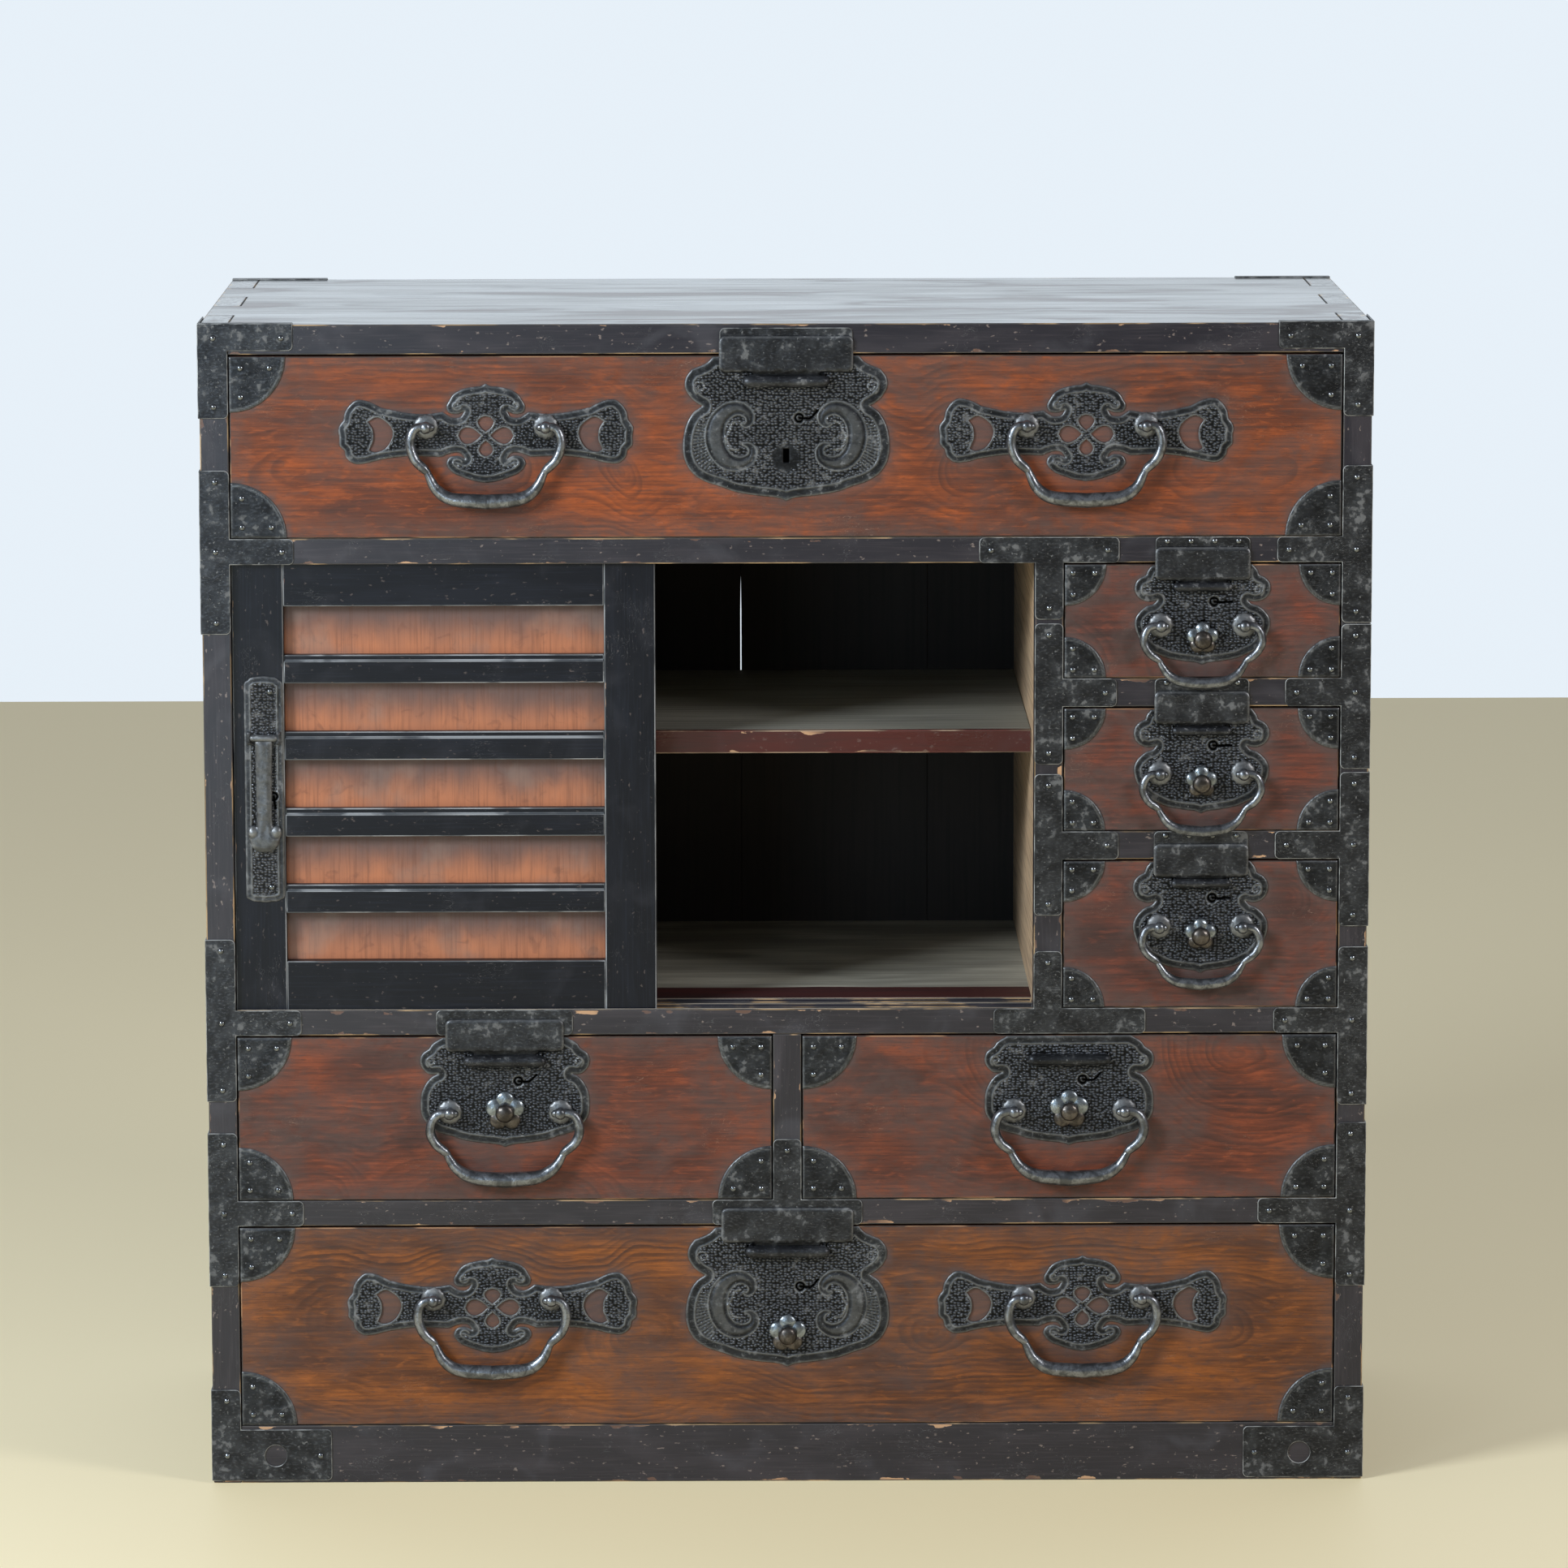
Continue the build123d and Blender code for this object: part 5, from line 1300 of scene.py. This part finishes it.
def lock_features(name, x, top):
    """The curls, scrolls, holes and rubbed places of a lock, and where its points lie closer."""
    kind, height = DRAWERS[name]
    half, tip = LOCK_WIDTH[kind] / 2, top - height
    key = (x + KEY[kind][0], top - KEY[kind][1])
    tail = np.array([(0, 0), (5, -0.5), (9, 0), (14, KEY_BEND[kind])])
    tail = curve(tail + key)
    features = []
    share_x, share_z, curl = EAR_CURL[kind]
    for side in (-1, 1):
        ear = (x + side * half * share_x, tip + height * share_z)
        features.append(raised_line(spiral(*ear, -60, 1.2, curl, curl * 0.25, side), 0.6))
        if kind == "wide":
            rows = curve(SCROLL)
            places = rows[:, :2] * (side, 1) + (x, tip)
            features.append(hatching(x + side * 36, tip + 50, side))
            features.append(raised_band(places, rows[:, 2]))
            for run in SCROLL_BRACKET:
                features.append(raised_line(curve(run) * (side, 1) + (x, tip), 0.8, 0.7))
    features.append(keyhole(key, tail))
    fine = [(key, 7), ((key[0] + 11, key[1] + 2), 6)]
    slit_x, slit_z = BARREL_LENGTH[kind] / 2 + SLIT_OVERHANG, top - HINGE_DROP[kind]
    for side in (-1, 1):
        features.append(sunk_slot(x + side * slit_x, slit_z, 0.6, HINGE_RADIUS[kind] + 0.6))
        fine.append(((x + side * slit_x, slit_z), 6.5))
    if name == "top":
        drop, width, tall = TOP_SLOT
        features.append(smooth_disc(x, top - drop, 11))
        features.append(sunk_slot(x, top - drop + 2, width / 2, tall / 2))
        fine.append(((x, top - drop + 2), 8))
    if kind == "small":
        step, drop, *halves = SMALL_SLIT
        features.append(sunk_slot(x + step, top - drop, *halves))
        fine.append(((x + step, top - drop), 3))
    return features, fine


def lock_plate(piece, name, x, top, back):
    """The lock plate of a drawer, with its ornament and the lugs and pin of its flap."""
    kind = DRAWERS[name][0]
    outline = lock_outline(name, x, top)
    features, fine = lock_features(name, x, top)
    relief(piece, [outline], back, ornamented(LOCK_RIM[kind], features, name), fine=fine)
    front = back - IRON
    axis = (front - HINGE_STANDOFF, top - HINGE_DROP[kind])
    pin = BARREL_LENGTH[kind] / 2 + PIN_OVERHANG
    for lug in (x - pin, x + pin):
        tube(piece, [(lug, axis[0] - 0.4, axis[1]), (lug, front, axis[1])], [1.0, 1.2])
    tube(piece, [(x - pin, *axis), (x + pin, *axis)], [1.0, 1.0], sides=8)
    return outline


def petal_loop(angle, inner, outer, width):
    """A drop-shaped hole whose point looks at the middle."""
    length = outer - inner
    half = [(inner, 0), (inner + 0.30 * length, 0.72 * width), (inner + 0.62 * length, width),
            (inner + 0.88 * length, 0.66 * width), (outer, 0)]
    loop = curve(half)
    loop = np.vstack([loop, loop[::-1][1:-1] * (1, -1)])
    c, s = math.cos(math.radians(angle)), math.sin(math.radians(angle))
    return loop @ np.array([[c, s], [-s, c]])


def bail_plate(piece, x, z, back, seed):
    """The winged plate of a wide drawer's bail, pierced with four petals and two beans."""
    outline = both_sides(runs(WIDE_RUNS)) + (x, z)
    loops = [outline]
    loops += [petal_loop(*petal) + (x, z) for petal in PETALS]
    loops += [runs(BEAN_RUNS)[:-1] * (side, 1) + (x, z) for side in (-1, 1)]
    features = []
    for side in (-1, 1):
        for start, turns, middle in ((200, 0.9, (22.5, 23.5)), (160, -0.9, (22.5, -21.5))):
            place = (x + side * middle[0], z + middle[1])
            features.append(raised_line(spiral(*place, start, turns, 4.2, 1.2, side), 0.6))
    relief(piece, loops, back, ornamented(RIM, features, seed))
    return outline


def bail_post(piece, x, z, front):
    """A fluted collar, and the post whose ball the bail's end passes through."""
    collar = [(9.3, front), (9.7, front - 0.8), (8.6, front - 1.9), (6.6, front - 2.7),
              (4.4, front - 3.0)]
    lathe(piece, x, z, collar, sides=56, wave=0.035, waves=12, rub=0.8)
    pivot = front - PIVOT_STANDOFF
    post = [(3.8, front - 1.6), (3.4, pivot + 4.6), (4.1, pivot + 3.4), (4.7, pivot + 1.2),
            (4.7, pivot - 1.4), (3.9, pivot - 3.5), (2.2, pivot - 4.6), (0.4, pivot - 4.9)]
    lathe(piece, x, z, post, sides=18, slot=1)


def corner_plate(piece, triangles, back, seed):
    """A quarter-round corner plate, from the CAD solid's own limits."""
    low, high = limits(triangles)
    centre = corner_of(triangles)
    radius = high[0] - low[0]
    way = np.where(centre < (low + high)[[0, 2]] / 2, 1, -1)
    angles = np.radians(np.linspace(0, 90, int(radius * 1.6)))
    bend = np.stack([radius * np.cos(angles), radius * np.sin(angles)], 1)
    sides = [curve([(0, 0), (radius, 0)])[:-1], bend, curve([(0, radius), (0, 0)])[1:-1]]
    outline = np.vstack(sides) * way + centre

    def height(points, edge, hole):
        bow = radius - np.hypot(*(points - centre).T)
        rise = IRON * (0.45 + 0.55 * ease(edge / 0.8)) + dents(points, 0.22, 26, seed)
        line = ridge(bow - CORNER_RIM, 0.7)
        rub = np.maximum(0.8 * ridge(edge, 0.8), 0.55 * line)
        return rise - 0.22 * line, surface(0 * edge, rub, 0 * edge)

    relief(piece, [outline], back, height, step=1.3)
    return outline


def corner_of(triangles):
    """The corner of a quarter-round plate that lies in the middle of its arc: the one whose
    farthest point is nearest."""
    low, high = limits(triangles)
    points = np.array([p for corners in triangles for p in corners])[:, [0, 2]]
    corners = [(x, z) for x in (low[0], high[0]) for z in (low[2], high[2])]
    return np.array(min(corners, key=lambda c: np.hypot(*(points - c).T).max()))


def stain_and_sheen_round(outlines):
    """How far the staining and painted sheen round irons with these outlines darken the points of a
    drawer front.
    """

    def stain(points):
        flat = points[:, [0, 2]]
        gap = np.min([distance(flat, outline[::4], True) for outline in outlines], 0)
        behind = np.any([inside(flat, outline) for outline in outlines], 0)
        return np.exp(-gap / STAIN_AND_SHEEN_REACH), behind

    return stain


def sort_irons(name):
    """The solids of a drawer's irons: nails, corner plates, posts and lock covers."""
    kinds = {"nail": [], "corner": [], "post": [], "cover": []}
    face = box_mm(f"drawer_{name}_front")[0][1]
    for triangles in solids(f"drawer_{name}_irons"):
        low, high = limits(triangles)
        wide, deep, tall = high - low
        if max(wide, tall) < NAIL_REACH:
            kinds["nail"].append((low + high) / 2 * (1, 0, 1) + (0, high[1], 0))
        elif abs(wide - tall) < 0.2 and wide > PLATE_WIDTH and deep < PLATE_DEPTH:
            kinds["corner"].append(triangles)
        elif abs(wide - tall) < 0.5 and deep > POST_DEPTH:
            kinds["post"].append(((low + high) / 2)[[0, 2]])
        elif low[1] > face + COVER_DEPTH:
            kinds["cover"].append(triangles)
    return kinds


def drawer(name):
    """A drawer's front, box, irons and bails."""
    body = f"drawer_{name}"
    kind = DRAWERS[name][0]
    low, high = box_mm(f"{body}_front")
    x, top, face = (low[0] + high[0]) / 2, high[2], low[1]
    irons = sort_irons(name)
    piece = Piece()
    outlines = [lock_plate(piece, name, x, top, face)]
    for index, triangles in enumerate(irons["corner"]):
        outlines.append(corner_plate(piece, triangles, face, f"{name}{index}"))
    for bail in sorted(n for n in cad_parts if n.startswith(f"bail_{name}")):
        bail_low, bail_high = box_mm(bail)
        bail_x = (bail_low[0] + bail_high[0]) / 2
        pivot_z = [z for px, z in irons["post"] if abs(px - bail_x) < POST_REACH][0]
        if kind == "wide":
            plate_z = pivot_z - WIDE_PIVOT_RISE
            outlines.append(bail_plate(piece, bail_x, plate_z, face, bail))
        make_bail(bail, kind, bail_x, pivot_z, face - IRON - PIVOT_STANDOFF)
    for px, pz in irons["post"]:
        bail_post(piece, px, pz, face - IRON)
    for px, py, pz in irons["nail"]:
        nail(piece, px, pz, py, 2)
    for triangles in irons["cover"]:
        piece.add(*eased(triangles, 0.4)[:2], smooth=False)
    if name == "half_right":
        barrel(piece, x, top, face, kind)
    metals = [CARVED_IRON, BRIGHT_IRON, NAIL_IRON]
    piece.make(f"{body}_ironwork", body, metals, [f"{body}_irons"])
    wood = {"top": TOP_KEYAKI, "bottom": BOTTOM_KEYAKI}
    wood = wood.get(name, HALF_KEYAKI if kind == "half" else SMALL_KEYAKI)
    slot = "keyaki" if kind == "wide" else "dark_keyaki"
    stain = stain_and_sheen_round(outlines)
    boards(f"{body}_front", body, [wood, FRONT_EDGE], slot, stain=stain)
    boards(f"{body}_box", body, [PLAIN, PLAIN], "plain_wood", width=0.5)
    if f"flap_{name}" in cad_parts:
        make_flap(name, x, top, face, kind)
    if f"knob_{name}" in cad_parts:
        make_knob(name, kind)


def barrel(piece, x, top, face, kind):
    half = BARREL_LENGTH[kind] / 2
    y = face - IRON - HINGE_STANDOFF
    z = top - HINGE_DROP[kind]
    ends = (-half, -half + 1, half - 1, half)
    tube(piece, [(x + e, y, z) for e in ends], [HINGE_RADIUS[kind]] * 4, sides=20)


def arc(x, z, radius, start, end):
    """Points of an arc between two directions in degrees."""
    count = max(4, int(abs(math.radians(end - start)) * radius / 0.6))
    angles = np.radians(np.linspace(start, end, count))
    return np.stack([x + radius * np.cos(angles), z + radius * np.sin(angles)], 1)


def make_flap(name, x, top, face, kind):
    """A flap: its leaf with the neck, and the hinge barrel."""
    node = f"flap_{name}"
    (x0, _, _), (x1, _, leaf_top) = box_mm(node)
    axis_z = top - HINGE_DROP[kind]
    leaf_low = axis_z + FLAP_LOW[kind]
    half, neck = (x1 - x0) / 2, BARREL_LENGTH[kind] * NECK_SHARE
    radius = FLAP_CORNER
    right = joined([
        curve([(0, axis_z), (neck, axis_z)]),
        curve([(neck, axis_z), (neck, leaf_low - 2)]),
        curve([(neck, leaf_low - 2), (neck + 2, leaf_low)]),
        curve([(neck + 2, leaf_low), (half - radius, leaf_low)]),
        arc(half - radius, leaf_low + radius, radius, -90, 0),
        curve([(half, leaf_low + radius), (half, leaf_top - radius)]),
        arc(half - radius, leaf_top - radius, radius, 0, 90),
        curve([(half - radius, leaf_top), (0, leaf_top)]),
    ])

    def height(points, edge, hole):
        rise = FLAP_THICK * (0.5 + 0.5 * ease(edge / 1.3)) + dents(points, 0.28, 34, name)
        # The neck is sunk and painted darker: painted shade in the recess under the leaf.
        ragged = leaf_low + 0.5 + dents(points, 0.8, 9, name)
        neck_share = 1 - ease((points[:, 1] - ragged) / 0.8)
        rub = 0.9 * ridge(edge, 1.1) * (1 - neck_share)
        return rise * (1 - 0.55 * neck_share), surface(0 * edge, rub, 0.7 * neck_share)

    piece = Piece()
    back = face - IRON - FLAP_GAP
    relief(piece, [both_sides(right) + (x, 0)], back, height, step=1.5)
    barrel(piece, x, top, face, kind)
    piece.make(f"{node}_iron", node, [BLACK_IRON], [node])


def make_bail(node, kind, x, z, y):
    """A bail: two bent arms, and a thicker grip whose pointed ends lie inside the arms."""
    bail = BAILS[kind]
    piece = Piece()
    for side in (-1, 1):
        path = curve(bail["arm"], step=1.6)
        share = np.linspace(0, 1, len(path))
        radii = bail["arm_radius"] * (0.92 + 0.16 * np.sin(share * math.pi) + 0.10 * share)
        radii[-4:] *= (0.95, 0.85, 0.7, 0.5)
        tube(piece, [(x + side * px, y, z + pz) for px, pz in path], list(radii))
    half = curve(bail["grip"], step=1.8)
    path = np.vstack([half, half[::-1][1:] * (-1, 1)])
    share = np.linspace(-1, 1, len(path))
    radii = bail["grip_radius"] * (1 - 0.62 * np.abs(share) ** 2.2)
    radii[:2] *= (0.45, 0.8)
    radii[-2:] *= (0.8, 0.45)
    tube(piece, [(x + px, y, z + pz) for px, pz in path], list(radii), sides=24)
    piece.make(f"{node}_iron", node, [BRIGHT_IRON], [node])


def make_knob(name, kind):
    """A five-petalled flower with a ball in its middle, its stem, and the bolt behind."""
    node = f"knob_{name}"
    low, high = box_mm(node)
    x = (low[0] + high[0]) / 2
    petal = PETAL_RADIUS[kind]
    z = box_mm(f"drawer_{name}_front")[1][2] - KNOB_DROP[kind]
    back = low[1] + KNOB_DEPTH
    piece = Piece()
    disc = [(petal * 1.1, back), (petal * 1.2, back - 1.6), (petal * 0.5, back - 3.0)]
    lathe(piece, x, z, disc, slot=1)
    ring = petal * PETAL_RING
    for index in range(PETAL_COUNT):
        angle = math.radians(90 + 360 / PETAL_COUNT * index)
        px, pz = x + ring * math.cos(angle), z + ring * math.sin(angle)
        profile = [(petal * 0.85, back), (petal * 1.04, back - 0.8), (petal * 1.06, back - 1.5)]
        profile += dome(back - 1.5, petal * 1.10, 3.0, 6)[1:]
        # The upper petals get the lighter iron and the lower ones the darker iron: painted light and
        # shade from above.
        lathe(piece, px, pz, profile, slot=0 if index in PETALS_PAINTED_LIT else 1)
    ball = [(3.6, back - 2.0), (4.0, back - 3.8), (5.6, back - 4.6), (6.9, back - 6.2),
            (7.4, back - 8.1), (6.9, back - 9.8), (5.2, back - 11.2), (2.8, back - 11.9),
            (0.5, back - KNOB_DEPTH)]
    lathe(piece, x, z - 0.8, ball, slot=1)
    lathe(piece, x, z, [(2.8, high[1] - 6), (2.8, back - 0.5)], sides=14, slot=1)
    piece.add(*knob_bolt(node), slots=1, smooth=False)
    piece.make(f"{node}_iron", node, [LIT_PETAL_IRON, RUSTY_SHADED_IRON], [node])


def knob_bolt(node):
    """The bolt behind the drawer's front, from the points of the node that lie deepest."""
    points = np.array([v.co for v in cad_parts[node].data.vertices]) / MM
    deep = points[points[:, 1] > box_mm(node)[1][1] - BOLT_DEPTH]
    a, b = deep.min(0), deep.max(0)
    corners = [(x, y, z) for x in (a[0], b[0]) for y in (a[1], b[1]) for z in (a[2], b[2])]
    faces = [(0, 1, 3, 2), (4, 6, 7, 5), (0, 4, 5, 1), (2, 3, 7, 6), (0, 2, 6, 4), (1, 5, 7, 3)]
    return corners, faces


# --------------------------------------------------------------------- stage, light, camera
def room():
    """Dim light all round, and beyond the floor's rear end the brightness of a pale wall."""
    world = bpy.data.worlds.new("room")
    s = Tree(world)
    _, y, z = s.split(s.coordinates("Generated"))
    sky = s.mix((y - z * 0.35).step(0.22, 0.42), ROOM_DIM, ROOM_WALL)
    s.put(s.nodes["Background"].inputs["Color"], sky)
    bpy.context.scene.world = world


def studio():
    """The pale floor, which ends under the horizon's pale wall, and three soft lights."""
    s = Coat("floor_surface", FLOOR_TONE)
    glow = {"Emission_Color": FLOOR_GLOW, "Emission_Strength": 1.0}
    floor = bpy.data.meshes.new("floor")
    corners = [(x, y, 0) for y in (-FLOOR_REACH, FLOOR_END) for x in (-FLOOR_REACH, FLOOR_REACH)]
    floor.from_pydata(corners, [], [(0, 1, 3, 2)])
    floor.materials.append(s.finish(Roughness=0.6, **glow))
    add_object("floor", floor)
    for name, (place, aim, size, power, colour) in LIGHTS.items():
        light = bpy.data.lights.new(f"{name}_light", "AREA")
        light.shape = "RECTANGLE"
        light.size, light.size_y = size
        light.energy, light.color = power, colour
        thing = add_object(f"{name}_light", light)
        thing.location = place
        thing.rotation_mode = "QUATERNION"
        thing.rotation_quaternion = (Vector(aim) - Vector(place)).to_track_quat("-Z", "Y")


def camera():
    """A level camera turned by the yaw, tipped down by the pitch and tilted by the roll."""
    data = bpy.data.cameras.new("camera")
    data.sensor_width = SENSOR
    data.lens = FOCAL_PIXELS * SENSOR / IMAGE_PIXELS
    thing = add_object("camera", data)
    turns = ((CAMERA_YAW, "Z"), (math.pi / 2 - CAMERA_PITCH, "X"), (CAMERA_ROLL, "Z"))
    matrix = Matrix.Translation(CAMERA_PLACE)
    for angle, axis in turns:
        matrix = matrix @ Matrix.Rotation(angle, 4, axis)
    thing.matrix_world = matrix
    bpy.context.scene.camera = thing


# ------------------------------------------------------------------------------------ all
case()
straps()
doors()
door_iron()
for drawer_name in DRAWERS:
    drawer(drawer_name)
room()
studio()
camera()
bpy.context.scene.view_settings.view_transform = "Standard"
